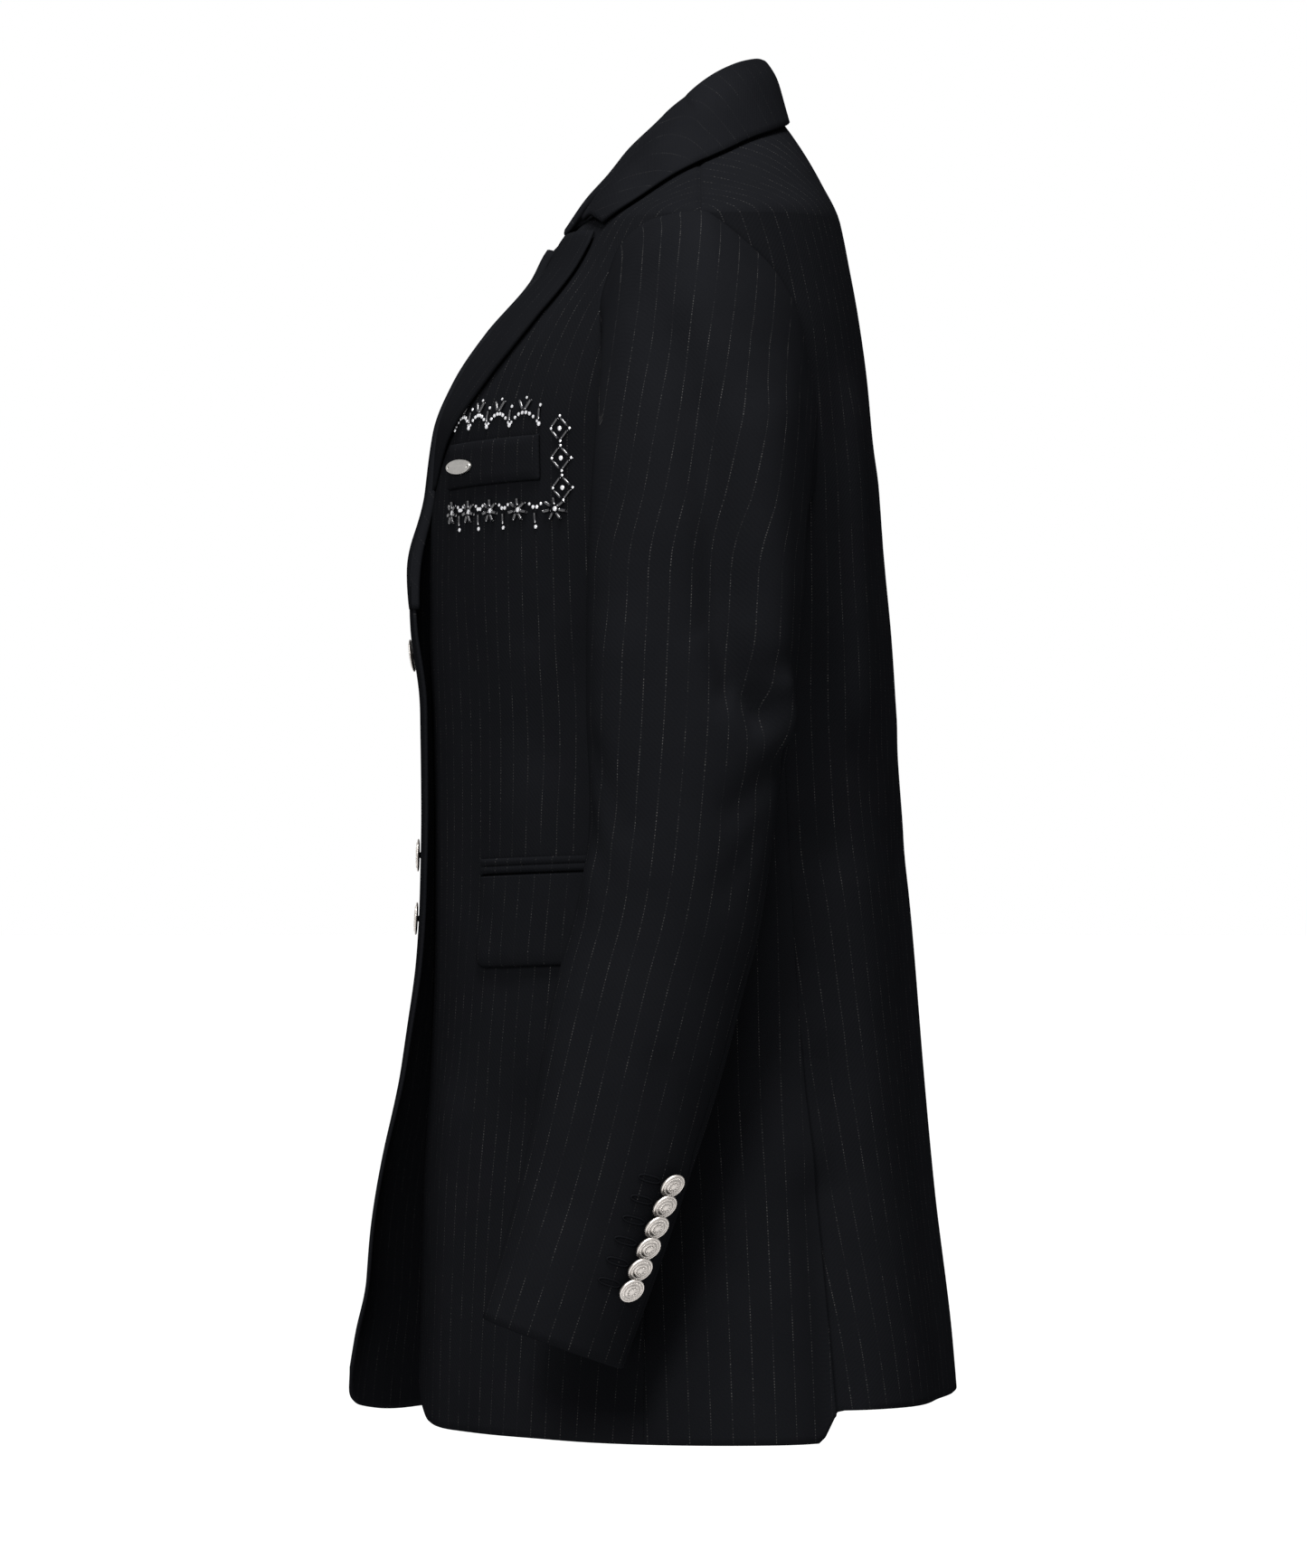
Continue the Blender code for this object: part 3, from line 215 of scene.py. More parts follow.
# Finer creases that only the cloth here shows
BODY_CREASES = np.array([
    # angle0, z0, angle1, z1, width, depth
    (58, -0.19, 50, -0.245, 0.012, -0.0016),
    (62, -0.215, 47, -0.285, 0.01, -0.0014),
    (34, -0.445, 40, -0.52, 0.012, -0.001),
    (60, -0.48, 58, -0.64, 0.014, -0.0016),
    (140, -0.33, 150, -0.372, 0.011, -0.0014),
    (128, -0.352, 141, -0.398, 0.012, -0.0017),
    (150, -0.385, 166, -0.41, 0.011, -0.0012),
    (146, -0.13, 158, -0.17, 0.013, -0.0014),
    (163, -0.2, 169, -0.33, 0.016, 0.0014),
    (-57, -0.195, -49, -0.25, 0.012, -0.0015),
    (-60, -0.222, -48, -0.29, 0.011, -0.0014),
    (-36, -0.44, -41, -0.53, 0.013, -0.0011),
    (-139, -0.325, -149, -0.362, 0.011, -0.0014),
    (-127, -0.358, -143, -0.402, 0.012, -0.0016),
    (-148, -0.14, -159, -0.182, 0.013, -0.0013),
    (-165, -0.21, -170, -0.32, 0.016, 0.0012),
])
ARM_FADE = {"angle": 92, "near": 30, "far": 44, "high": 0.24, "low": 0.32}
SHOULDER_FADE = {"high": 0.1, "low": 0.16}
RIGHT_FRONT = {
    "flare_from": -0.02,
    "flare_to": 0.17,
    "break_out": 0.008,
    "break_z": -0.268,
    "break_tall": 0.038,
    "break_width": 0.055,
    "lap_out": WALL + 0.0014,
    "lap_from": 0.022,
    "lap_to": 0.05,
    "lap_low": -0.245,
    "lap_high": -0.2,
}
SLEEVE_RINGS = np.array([
    # z, x, y, half_y, half_x, tilt_deg
    (-0.262, 0.2365, -0.0185, 0.06, 0.041, 0.0),
    (-0.325, 0.24, -0.0214, 0.0575, 0.042, 0.0),
    (-0.384, 0.242, -0.026, 0.0512, 0.0425, 3.0),
    (-0.412, 0.2425, -0.029, 0.05, 0.0425, 6.0),
    (-0.443, 0.2425, -0.0345, 0.0505, 0.042, 9.0),
    (-0.475, 0.242, -0.043, 0.0505, 0.0415, 11.5),
    (-0.506, 0.2415, -0.0505, 0.05, 0.041, 13.0),
    (-0.538, 0.241, -0.058, 0.0483, 0.04, 14.0),
    (-0.572, 0.2405, -0.0662, 0.0455, 0.039, 15.0),
    (-0.612, 0.2395, -0.0775, 0.0435, 0.038, 16.5),
    (-0.64, 0.2385, -0.086, 0.0422, 0.0375, 18.0),
    (-0.6735, 0.2367, -0.0969, 0.041, 0.0369, 19.9),
])
CAP = {"slope": -0.3, "under_slope": 0.25, "out": 0.8, "under_out": 0.012, "down": 1.25}
SLEEVE_FOLDS_LEFT = np.array([
    # angle0, z0, angle1, z1, width, depth
    (48, -0.082, 70, -0.1235, 0.015, -0.005),
    (70, -0.1235, 84, -0.163, 0.016, -0.0082),
    (84, -0.163, 97, -0.225, 0.016, -0.0102),
    (97, -0.225, 101, -0.28, 0.015, -0.011),
    (101, -0.28, 112, -0.314, 0.013, -0.011),
    (112, -0.314, 130, -0.328, 0.011, -0.01),
    (124, -0.17, 130, -0.29, 0.018, 0.0062),
    (142, -0.317, 155, -0.3385, 0.01, 0.0068),
    (165, -0.35, 120, -0.38, 0.012, -0.0035),
    (40, -0.3, 30, -0.42, 0.02, 0.003),
    (60, -0.44, 68, -0.6, 0.018, -0.0025),
    (-60, -0.34, -100, -0.4, 0.016, -0.0045),
    (-120, -0.43, -95, -0.5, 0.016, 0.0035),
    (112, -0.121, 130, -0.1265, 0.006, -0.0015),
    (134, -0.096, 148, -0.128, 0.007, -0.0013),
    (143, -0.108, 158, -0.146, 0.007, -0.0014),
    (152, -0.122, 163, -0.168, 0.008, -0.0013),
    (20, -0.35, 48, -0.392, 0.01, -0.0018),
    (14, -0.392, 40, -0.425, 0.009, -0.0015),
    (142, -0.392, 120, -0.42, 0.01, -0.0015),
    (104, -0.52, 112, -0.56, 0.01, -0.0012),
])
SLEEVE_FOLDS_RIGHT = np.array([
    # angle0, z0, angle1, z1, width, depth
    (64, -0.11, 84, -0.21, 0.018, -0.006),
    (84, -0.21, 104, -0.3, 0.016, -0.0075),
    (104, -0.3, 132, -0.345, 0.012, -0.007),
    (118, -0.18, 126, -0.28, 0.018, 0.0035),
    (148, -0.33, 158, -0.365, 0.011, 0.005),
    (162, -0.372, 126, -0.402, 0.012, -0.003),
    (44, -0.32, 34, -0.44, 0.02, 0.003),
    (66, -0.46, 62, -0.58, 0.018, -0.0025),
    (-70, -0.35, -104, -0.41, 0.016, -0.004),
    (136, -0.1, 150, -0.135, 0.007, -0.0013),
    (146, -0.114, 160, -0.152, 0.007, -0.0013),
    (22, -0.36, 50, -0.4, 0.01, -0.0017),
    (16, -0.402, 38, -0.432, 0.009, -0.0014),
    (138, -0.41, 118, -0.436, 0.01, -0.0014),
])
COLLAR_ROLL = np.array([
    # x, y, z
    (0.0, 0.042, 0.0475),
    (0.022, 0.037, 0.0465),
    (0.045, 0.0255, 0.043),
    (0.06, 0.0115, 0.0365),
    (0.069, -0.001, 0.028),
    (0.073, -0.015, 0.015),
    (0.0735, -0.0285, 0.002),
    (0.072, -0.041, -0.0135),
    (0.069, -0.054, -0.028),
    (0.065, -0.0665, -0.046),
])
COLLAR_EDGE = np.array([
    # angle, z
    (180, -0.0045),
    (157, -0.007),
    (136, -0.0095),
    (118, -0.012),
    (103, -0.016),
    (86, -0.0215),
    (68, -0.0285),
    (55, -0.036),
    (46, -0.045),
    (38, -0.054),
])
COLLAR_SEAM = np.array([
    # angle, z
    (180, -0.006),
    (157, -0.006),
    (136, -0.006),
    (116, -0.006),
    (96, -0.006),
])
STAND_FRONT = {"start_z": -0.008, "end_z": -0.046, "inside": 0.0045, "back": 0.0012, "up": 0.0022}
STAND_TOP_UP = -0.0008
COLLAR_STANDS_OFF = 0.0016
COLLAR_ROLL_WIDTH = 0.0032
WELT = {"x0": 0.052, "x1": 0.142, "low0": -0.2005, "low1": -0.1975, "tall": 0.0245, "thick": 0.0024}
JETS = {"x0": 0.09, "x1": 0.175, "low0": -0.419, "low1": -0.415, "tall": 0.0085, "thick": 0.0018}
FLAP = {"x0": 0.0925, "x1": 0.1745, "low0": -0.471, "low1": -0.467, "tall": 0.0505, "thick": 0.003}
PLATE = {"x": 0.074, "z": -0.189, "radius": 0.017, "tall": 0.0012, "squash": 0.24}
CUFF_BUTTON = {"radius": 0.0075, "tall": 0.0034}
FRONT_BUTTON = {"radius": 0.0095, "tall": 0.0019}
CUFF_BUTTONS = 6
CUFF_FIRST = {"angle": 135.0, "z": -0.577}
CUFF_LAST = {"angle": 129.0, "z": -0.634}
CUFF_TILT = 22.0
CUFF_SEAT = 0.82
BUTTON_STANDS_OFF = 0.0006
FRONT_BUTTON_OFF = 0.0007
FRONT_BUTTON_X = -0.014
FRONT_BUTTON_Z = (-0.294, -0.409, -0.4455)
LOW_TOP_Z = -0.252
WAIST_Z = -0.42
FRONT_SEAM_ANGLE = -38.25
HIND_SEAM_ANGLE = 189.75
HIND_SEAM_TURN = 33
FRONT_SEAM_TURN = 4
SEAM_TURN_FROM = 0.6
SEAM_TURN_TO = 1.8
TOP_COLS = 64
UNDER_COLS = 32
TOP_STEP = (HIND_SEAM_ANGLE - FRONT_SEAM_ANGLE) / TOP_COLS
UNDER_STEP = (360 - HIND_SEAM_ANGLE + FRONT_SEAM_ANGLE) / UNDER_COLS
SIDE_FRONT_STEPS = 4
SIDE_BACK_STEPS = 12
SIDE_FRONT_ANGLE = FRONT_SEAM_ANGLE - SIDE_FRONT_STEPS * UNDER_STEP
SIDE_BACK_ANGLE = HIND_SEAM_ANGLE + SIDE_BACK_STEPS * UNDER_STEP
SHOULDER_ANGLE = 90

# Cloth detail: seams sink, free edges are round, and the sleeve head swells past its seam
SEAM_SINK = 0.0007
SEAM_SOFT = 0.0018
HEAD_SINK = 0.0004
HEAD_SOFT = 0.0036
EDGE_ROUND = 0.0008
HEAD_SWELL = 0.0011
HEAD_SWELL_AT = 0.0065
HEAD_SWELL_WIDTH = 0.005

# Stripes: spacing across the cloth, dot spacing along it, half a dot's width, and its share of the spacing
STRIPE_PITCH = 0.012
DOT_PITCH = 0.0016
STRIPE_HALF = 0.00022
DOT_DUTY = 0.5


def hermite(start, out, end, down, t):
    """Point of a cubic curve from a start and its direction to an end and its direction."""
    from_start = (1 + 2 * t) * (1 - t) ** 2
    return (from_start * start + t * (1 - t) ** 2 * out
            + t * t * (3 - 2 * t) * end + t * t * (t - 1) * down)


class Curve:
    """A smooth curve through points that never overshoots them."""

    def __init__(self, xs, ys):
        order = np.argsort(xs)
        self.xs = np.asarray(xs, float)[order]
        self.ys = np.asarray(ys, float)[order]
        steps = np.diff(self.ys) / np.diff(self.xs)
        before = steps[:-1]
        after = steps[1:]
        level = before * after <= 0
        mean = 2 * before * after / np.where(level, 1.0, before + after)
        self.slopes = np.concatenate([steps[:1], np.where(level, 0.0, mean), steps[-1:]])

    def at(self, x):
        """Values of the curve at x, held level past its ends."""
        x = np.clip(x, self.xs[0], self.xs[-1])
        i = np.clip(np.searchsorted(self.xs, x, side="right") - 1, 0, len(self.xs) - 2)
        h = self.xs[i + 1] - self.xs[i]
        t = (x - self.xs[i]) / h
        return hermite(self.ys[i], h * self.slopes[i], self.ys[i + 1], h * self.slopes[i + 1], t)


def curves(table):
    """One curve over the table's first column for each of the others."""
    return [Curve(table[:, 0], table[:, k]) for k in range(1, table.shape[1])]


SECTION_CURVES = curves(SECTIONS)
EDGE_CURVES = curves(FRONT_EDGES)
LAPEL_CURVE = curves(LAPEL_EDGE)[0]
LIFT_CURVE = curves(ROLL_LIFT)[0]
FLARE_CURVE = curves(FLARE)[0]
SEAM_CURVES = curves(SIDE_SEAMS)
RING_CURVES = curves(SLEEVE_RINGS)
ARMHOLE_CURVES = curves(ARMHOLE)


def step(x, low, high):
    """Smooth step from 0 at low to 1 at high."""
    t = np.clip((np.asarray(x, float) - low) / (high - low), 0.0, 1.0)
    return t * t * (3 - 2 * t)


def unit(vectors):
    """Vectors scaled to length 1."""
    return vectors / np.maximum(np.linalg.norm(vectors, axis=-1, keepdims=True), 1e-12)


def end_of(side):
    """The end of a name on the wearer's left (side 1) or right (side -1)."""
    return "_left" if side > 0 else "_right"


def flip_of(side):
    """What turns a point of the left side to its own side."""
    return np.array([side, 1.0, 1.0])


def xyz(x, y, z):
    """One array of points from arrays of coordinates."""
    return np.stack(np.broadcast_arrays(x, y, z), axis=-1).astype(float)


def fold_depth(table, angle, z, radius):
    """Sum of the soft folds at each angle and height. Lines that go on from each other are one fold."""
    total = np.zeros(np.broadcast(angle, z).shape)
    before = None
    for a0, z0, a1, z1, width, depth in table:
        run_x = math.radians(a1 - a0) * radius
        run_z = z1 - z0
        here_x = np.radians(angle - a0) * radius
        here_z = z - z0
        end = np.clip((here_x * run_x + here_z * run_z) / (run_x ** 2 + run_z ** 2), 0, 1)
        gap = (here_x - end * run_x) ** 2 + (here_z - end * run_z) ** 2
        here = depth * np.exp(-gap / width ** 2)
        if (a0, z0) == before:
            here = np.where(np.abs(here) > np.abs(fold), here, fold)
            total = total - fold
        total = total + here
        fold = here
        before = (a1, z1)
    return total


# Body surface
def section(z):
    """Half width, widest y, reaches and fullness of the body at each height."""
    return [curve.at(z) for curve in SECTION_CURVES]


def body_base(angle, z):
    """Points of the plain body at angles from the centre front, plus towards the wearer's left."""
    half, mid, front, back, front_power, back_power = section(z)
    turn = np.radians(np.abs(angle))
    ahead = np.abs(angle) <= 90
    power = np.where(ahead, front_power, back_power)
    across = np.abs(np.sin(turn)) ** (2 / power)
    along = np.abs(np.cos(turn)) ** (2 / power)
    y = np.where(ahead, mid - (front + mid) * along, mid + (back - mid) * along)
    return xyz(np.sign(angle) * half * across, y, z)


def angle_at_x(x, z):
    """Angle on the front half where the body is at x."""
    half, mid, front, back, front_power, back_power = section(z)
    return np.sign(x) * np.degrees(np.arcsin(np.minimum(np.abs(x) / half, 1) ** (front_power / 2)))


def angle_at_y(y, z):
    """Angle on the left side where the body is at y."""
    half, mid, front, back, front_power, back_power = section(z)
    fore = np.clip((mid - y) / (front + mid), 0, 1) ** (front_power / 2)
    aft = np.clip((y - mid) / (back - mid), 0, 1) ** (back_power / 2)
    return np.where(y <= mid, np.degrees(np.arccos(fore)), 180 - np.degrees(np.arccos(aft)))


def edge_x(z, side):
    """Distance of the front edge from the centre on its own side."""
    return EDGE_CURVES[0 if side > 0 else 1].at(z)


def front_swing(x, z, side):
    """How far the front stands forward near its edge."""
    if side > 0:
        return 0.0
    form = RIGHT_FRONT
    flare = FLARE_CURVE.at(z) * (1 - step(-x, form["flare_from"], form["flare_to"]))
    soft = np.exp(-((z - form["break_z"]) / form["break_tall"]) ** 2)
    roll = form["break_out"] * soft * (1 - step(-x, 0, form["break_width"]))
    lap = form["lap_out"] * (1 - step(-x, form["lap_from"], form["lap_to"]))
    return flare + roll + lap * (1 - step(z, form["lap_low"], form["lap_high"]))


def body(angle, z, side=0):
    """Points of the dressed body: plain form, folds, the roll above the chest and the swing."""
    angle, z = np.broadcast_arrays(np.asarray(angle, float), np.asarray(z, float))
    point = body_base(angle, z)
    beside_arm = 1 - step(np.abs(np.abs(angle) - ARM_FADE["angle"]), ARM_FADE["near"], ARM_FADE["far"])
    below_arm = step(-z, ARM_FADE["high"], ARM_FADE["low"])
    fade = step(-z, SHOULDER_FADE["high"], SHOULDER_FADE["low"]) * (1 - beside_arm * (1 - below_arm))
    depth = fold_depth(BODY_FOLDS, angle, z, BODY_FOLD_RADIUS)
    depth = depth + fold_depth(BODY_CREASES, angle, z, BODY_FOLD_RADIUS)
    away = unit(xyz(point[..., 0], point[..., 1] * BODY_FOLD_DEPTHWISE, 0))
    point = point + away * (depth * fade)[..., None]
    if side:
        ahead = np.abs(angle) < 90
        gap = np.abs(point[..., 0]) - edge_x(z, side)
        lift = LIFT_CURVE.at(z) * np.exp(-(gap / ROLL_SPREAD) ** 2)
        forward = lift + front_swing(point[..., 0], z, side)
        point[..., 1] -= np.where(ahead, forward, 0.0)
    behind = np.radians(np.clip(np.abs(angle), 90, 180) - 90)
    point[..., 2] += NECK_RISE * step(z, NECK_RISE_FROM, TOP_Z) * np.sin(behind)
    return point


def hem_shift(angle, z, side, edge_angle):
    """How much points near the hem are raised by the hem's line and the rounded front corner."""
    fade = np.maximum(0.0, 1 - (z - HEM_Z) / HEM_FADE) ** 2
    behind = np.abs(angle)
    shift = BACK_HEM_RISE * step(behind, *BACK_HEM_ANGLES) + MID_BACK_RISE * step(behind, *MID_BACK_ANGLES)
    if side:
        gap = np.radians(side * angle - edge_angle) * CORNER_RADIUS_OF_TURN
        part = 1 - np.clip(gap, 0, CORNER_WIDTH) / CORNER_WIDTH
        shift = shift + CORNER_RISE * (1 - np.sqrt(np.maximum(1 - part ** 2, 0.0)))
    return shift * fade


# Steps for the body's normals, in degrees and in metres
NORMAL_TURN = 0.4
NORMAL_RISE = 0.0015


def body_normal(angle, z, side):
    """Unit normals of the dressed body, pointing out."""
    across = body(angle + NORMAL_TURN, z, side) - body(angle - NORMAL_TURN, z, side)
    up = body(angle, z + NORMAL_RISE, side) - body(angle, z - NORMAL_RISE, side)
    return unit(np.cross(across, up))


def row_lengths(points):
    """Distance along each row from its first point."""
    steps = np.linalg.norm(np.diff(points, axis=1), axis=-1)
    return np.concatenate([np.zeros((len(points), 1)), np.cumsum(steps, axis=1)], axis=1)


def from_centre(angle, z, side):
    """Length of cloth from the centre front to each angle, along the plain body at that height."""
    parts = np.linspace(0, 1, 17)
    points = body_base(np.asarray(angle)[..., None] * parts, np.asarray(z)[..., None])
    return np.linalg.norm(np.diff(points, axis=-2), axis=-1).sum(axis=-1) * np.sign(angle) * side


def up_lengths(angle, heights, side=0):
    """Length of cloth up the body at an angle, row by row."""
    line = body(np.full(len(heights), float(angle)), np.asarray(heights), side)
    return np.concatenate([[0], np.cumsum(np.linalg.norm(np.diff(line, axis=0), axis=-1))])


# Meshes
def mesh_object(name, points, faces, uvs, material):
    """A piece from points, faces and a UV place for each point."""
    mesh = bpy.data.meshes.new(name)
    mesh.from_pydata(np.asarray(points, float).tolist(), [], faces)
    if uvs is not None:
        layer = mesh.uv_layers.new(name="cloth")
        corners = np.zeros(len(mesh.loops), dtype=np.int64)
        mesh.loops.foreach_get("vertex_index", corners)
        layer.data.foreach_set("uv", np.asarray(uvs, dtype=np.float32)[corners].ravel())
    mesh.materials.append(material)
    mesh.shade_smooth()
    piece = bpy.data.objects.new(name, mesh)
    bpy.context.scene.collection.objects.link(piece)
    return piece


def shell(name, outer, inner, uv, material, rounded):
    """A closed shell between two grids. The named sides (low, high, start, end) have round edges."""
    rows, cols = outer.shape[:2]
    count = rows * cols
    index = np.arange(count).reshape(rows, cols)
    a = index[:-1, :-1].ravel()
    b = index[:-1, 1:].ravel()
    c = index[1:, 1:].ravel()
    d = index[1:, :-1].ravel()
    faces = np.stack([a, b, c, d], axis=1).tolist()
    faces += (np.stack([a, d, c, b], axis=1) + count).tolist()
    rim = [(0, j) for j in range(cols)]
    rim += [(i, cols - 1) for i in range(1, rows)]
    rim += [(rows - 1, j) for j in range(cols - 2, -1, -1)]
    rim += [(i, 0) for i in range(rows - 2, 0, -1)]
    middle = []
    for i, j in rim:
        round_it = (
            ("low" in rounded and i == 0)
            or ("high" in rounded and i == rows - 1)
            or ("start" in rounded and j == 0)
            or ("end" in rounded and j == cols - 1)
        )
        near = outer[min(max(i, 1), rows - 2), min(max(j, 1), cols - 2)]
        out = unit(outer[i, j] - near)
        middle.append((outer[i, j] + inner[i, j]) / 2 + out * (EDGE_ROUND if round_it else 0.0))
    places = [i * cols + j for i, j in rim]
    total = len(rim)
    for k, place in enumerate(places):
        m = (k + 1) % total
        after = places[m]
        faces.append((after, place, 2 * count + k, 2 * count + m))
        faces.append((2 * count + m, 2 * count + k, place + count, after + count))
    points = np.concatenate([outer.reshape(-1, 3), inner.reshape(-1, 3), np.array(middle)])
    flat = uv.reshape(-1, 2)
    uvs = np.concatenate([flat, flat, flat[places]])
    return mesh_object(name, points, faces, uvs, material)


def grid_area(points):
    """Area of a grid of points, flat or not."""
    first = points[1:, 1:] - points[:-1, :-1]
    second = points[1:, :-1] - points[:-1, 1:]
    square = (first ** 2).sum(-1) * (second ** 2).sum(-1) - (first * second).sum(-1) ** 2
    return float(np.sqrt(np.maximum(square, 0)).sum() / 2)


def declare(piece, node, uv, rests_on=(), flat=None):
    """Places a cloth piece in the frame and hides the solid it stands for. The size of its flat grid is worked
    out but not passed on.
    """
    width, length, area = flat or (float(np.ptp(uv[..., 0])), float(np.ptp(uv[..., 1])), grid_area(uv))
    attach(piece, "root")
    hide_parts(node)
    area = min(area, width * length)
    return piece


def sink(distance):
    """How deep the cloth dips beside a seam at a distance from it."""
    return SEAM_SINK * np.exp(-(distance / SEAM_SOFT) ** 2)


# Body panels
def armhole_place(angle):
    """y and z of the left armhole on the body at a ring angle."""
    turn = (np.asarray(angle, float) + 90) % 360 - 90
    return ARMHOLE_CURVES[0].at(turn), ARMHOLE_CURVES[1].at(turn)


ARMHOLE_PLACES = 801


def armhole_side(start):
    """The armhole's heights and y from a ring angle to the shoulder."""
    ys, zs = armhole_place(np.linspace(start, SHOULDER_ANGLE, ARMHOLE_PLACES))
    order = np.argsort(zs)
    return zs[order], ys[order]


FRONT_ARMHOLE = armhole_side(SIDE_FRONT_ANGLE)
BACK_ARMHOLE = armhole_side(SIDE_BACK_ANGLE)


def seam_y(z, back):
    """y of the side seam at each height, up to where it meets the armhole."""
    top_y, top_z = armhole_place(SIDE_BACK_ANGLE if back else SIDE_FRONT_ANGLE)
    low_y = SEAM_CURVES[1 if back else 0].at(z)
    return low_y + (top_y - low_y) * step(z, WAIST_Z, float(top_z))


def outer_angle(z, back):
    """Angle of the front or back panel's outer boundary: side seam, armhole, then shoulder seam."""
    heights, ys = BACK_ARMHOLE if back else FRONT_ARMHOLE
    beside = np.interp(z, heights, ys)
    y = np.where(z < heights[0], seam_y(z, back), np.where(z < SHOULDER_Z, beside, section(z)[1]))
    return angle_at_y(y, z)


def seam_step(z):
    """Half the gap at a seam, as an angle on the body."""
    return np.degrees(SEAM_HALF_GAP / section(z)[0])


# Columns and rows of the panels: spacing, distances of the first columns from a seam, and the panels' widths
SPACING = 0.0042
SEAM_COLUMNS = (0, 0.0008, 0.0018, 0.0034)
FRONT_WIDTH = 0.3
BACK_WIDTH = 0.19
SIDE_WIDTH = 0.1
LOW_ROWS = 121
SHOULDER_ROWS = 16


def columns(width, spacing=SPACING):
    """Places from 0 to 1 across a panel, closer beside its seams."""
    low = np.array(SEAM_COLUMNS) / width
    high = 1 - low[::-1]
    count = max(int(round(width / spacing)), 2)
    middle = np.linspace(low[-1], high[0], count + 1)[1:-1]
    return np.concatenate([low, middle, high])


LOW_HEIGHTS = np.linspace(HEM_Z, LOW_TOP_Z, LOW_ROWS)
SHOULDER_HEIGHTS = np.linspace(SHOULDER_Z, TOP_Z, SHOULDER_ROWS)[1:]


def panel_heights(angles):
    """Heights of a panel's rows: skirt and side, beside the armhole, then the shoulder."""
    beside = armhole_place(np.array(angles + [SHOULDER_ANGLE]))[1]
    return np.concatenate([LOW_HEIGHTS, beside, SHOULDER_HEIGHTS])


def ring_angles(seam, steps, towards):
    """Ring angles from the side panel to the seam of the sleeve, then on to the shoulder."""
    below = [seam - towards * UNDER_STEP * k for k in range(steps, 0, -1)]
    above = [seam + towards * TOP_STEP * k for k in range(TOP_COLS)]
    return [a for a in below + above if (SHOULDER_ANGLE - a) * towards > 0]


FRONT_HEIGHTS = panel_heights(ring_angles(FRONT_SEAM_ANGLE, SIDE_FRONT_STEPS, 1))
BACK_HEIGHTS = panel_heights(ring_angles(HIND_SEAM_ANGLE, SIDE_BACK_STEPS, -1))


# How much of the relief outside shows on the inner face
INNER_SHARE = 0.2


def pushed(point, normal, push):
    """Outer and inner grids of cloth, pushed out by a height at each point."""
    outer = point + normal * push[..., None]
    inner = point + normal * (np.minimum(push, 0) * INNER_SHARE - WALL)[..., None]
    return outer, inner


def surface_grids(angle, z, side, edge, push):
    """Outer and inner grids of cloth on the body, and the lengths along the plain body."""
    point = body(angle, z, side)
    normal = body_normal(angle, z, side)
    plain_lengths = row_lengths(body_base(*np.broadcast_arrays(angle, z)))
    base = point + xyz(0, 0, hem_shift(angle, z, side, edge))
    outer, inner = pushed(base, normal, push(row_lengths(point)))
    return outer, inner, plain_lengths


def panel(name, side, outer, inner, across, up, material, rounded):
    """A body panel from its grids and the places of its points on the flat cloth."""
    uv = np.stack([across, up], axis=-1)
    piece = shell("cloth_" + name + end_of(side), outer, inner, uv, material, rounded)
    return declare(piece, name + end_of(side), uv)


# Angles where the length up each panel is measured
FRONT_UP_ANGLE = 45
SIDE_UP_ANGLE = 90
BACK_UP_ANGLE = 135


def front(side, material):
    """A front, from its edge and roll to the side seam, armhole and shoulder seam."""
    z = FRONT_HEIGHTS[:, None]
    s = columns(FRONT_WIDTH)[None, :]
    edge = angle_at_x(edge_x(z, side), z)
    outer_end = outer_angle(z, False) - seam_step(z)
    angle = side * (edge + (outer_end - edge) * s)

    def push(lengths):
        return -sink(lengths[:, -1:] - lengths)

    outer, inner, lengths = surface_grids(angle, z + 0 * s, side, edge, push)
    start = from_centre(side * edge[:, 0], FRONT_HEIGHTS, side)
    across = start[:, None] + lengths
    up = up_lengths(side * FRONT_UP_ANGLE, FRONT_HEIGHTS)[:, None] + 0 * s
    return panel("front", side, outer, inner, across, up, material, ("low", "start"))


def vent(z):
    """0 above the side vents and 1 where the back passes under the side panel."""
    return step(-z, VENT_TOP, VENT_TOP + VENT_EASE)


# Shares of the back's width over which it comes up from under the side panel
VENT_REACH = (0.06, 0.27)


def back_half(side, material):
    """Half of the back, from the side seam to the centre back seam."""
    z = BACK_HEIGHTS[:, None]
    s = columns(BACK_WIDTH)[None, :]
    outer_end = outer_angle(z, True) + seam_step(z) - VENT_LAP_ANGLE * vent(z)
    centre = 180 + seam_step(z)
    angle = side * (outer_end + (centre - outer_end) * s)
    sunk = VENT_SINK * step(-z, VENT_TOP - VENT_EASE, VENT_TOP) * (1 - step(s, *VENT_REACH))
    closed = 1 - vent(z)

    def push(lengths):
        return -sunk - sink(lengths) * closed - sink(lengths[:, -1:] - lengths)

    outer, inner, lengths = surface_grids(angle, z + 0 * s, 0, None, push)
    for grid in (outer, inner):
        grid[:, -1, 0] = -side * BACK_SEAM_LAP
    across = STRIPE_PITCH / 2 + lengths[:, -1:] - lengths
    up = up_lengths(side * BACK_UP_ANGLE, BACK_HEIGHTS)[:, None] + 0 * s
    return panel("back", side, outer, inner, across, up, material, ("low",))


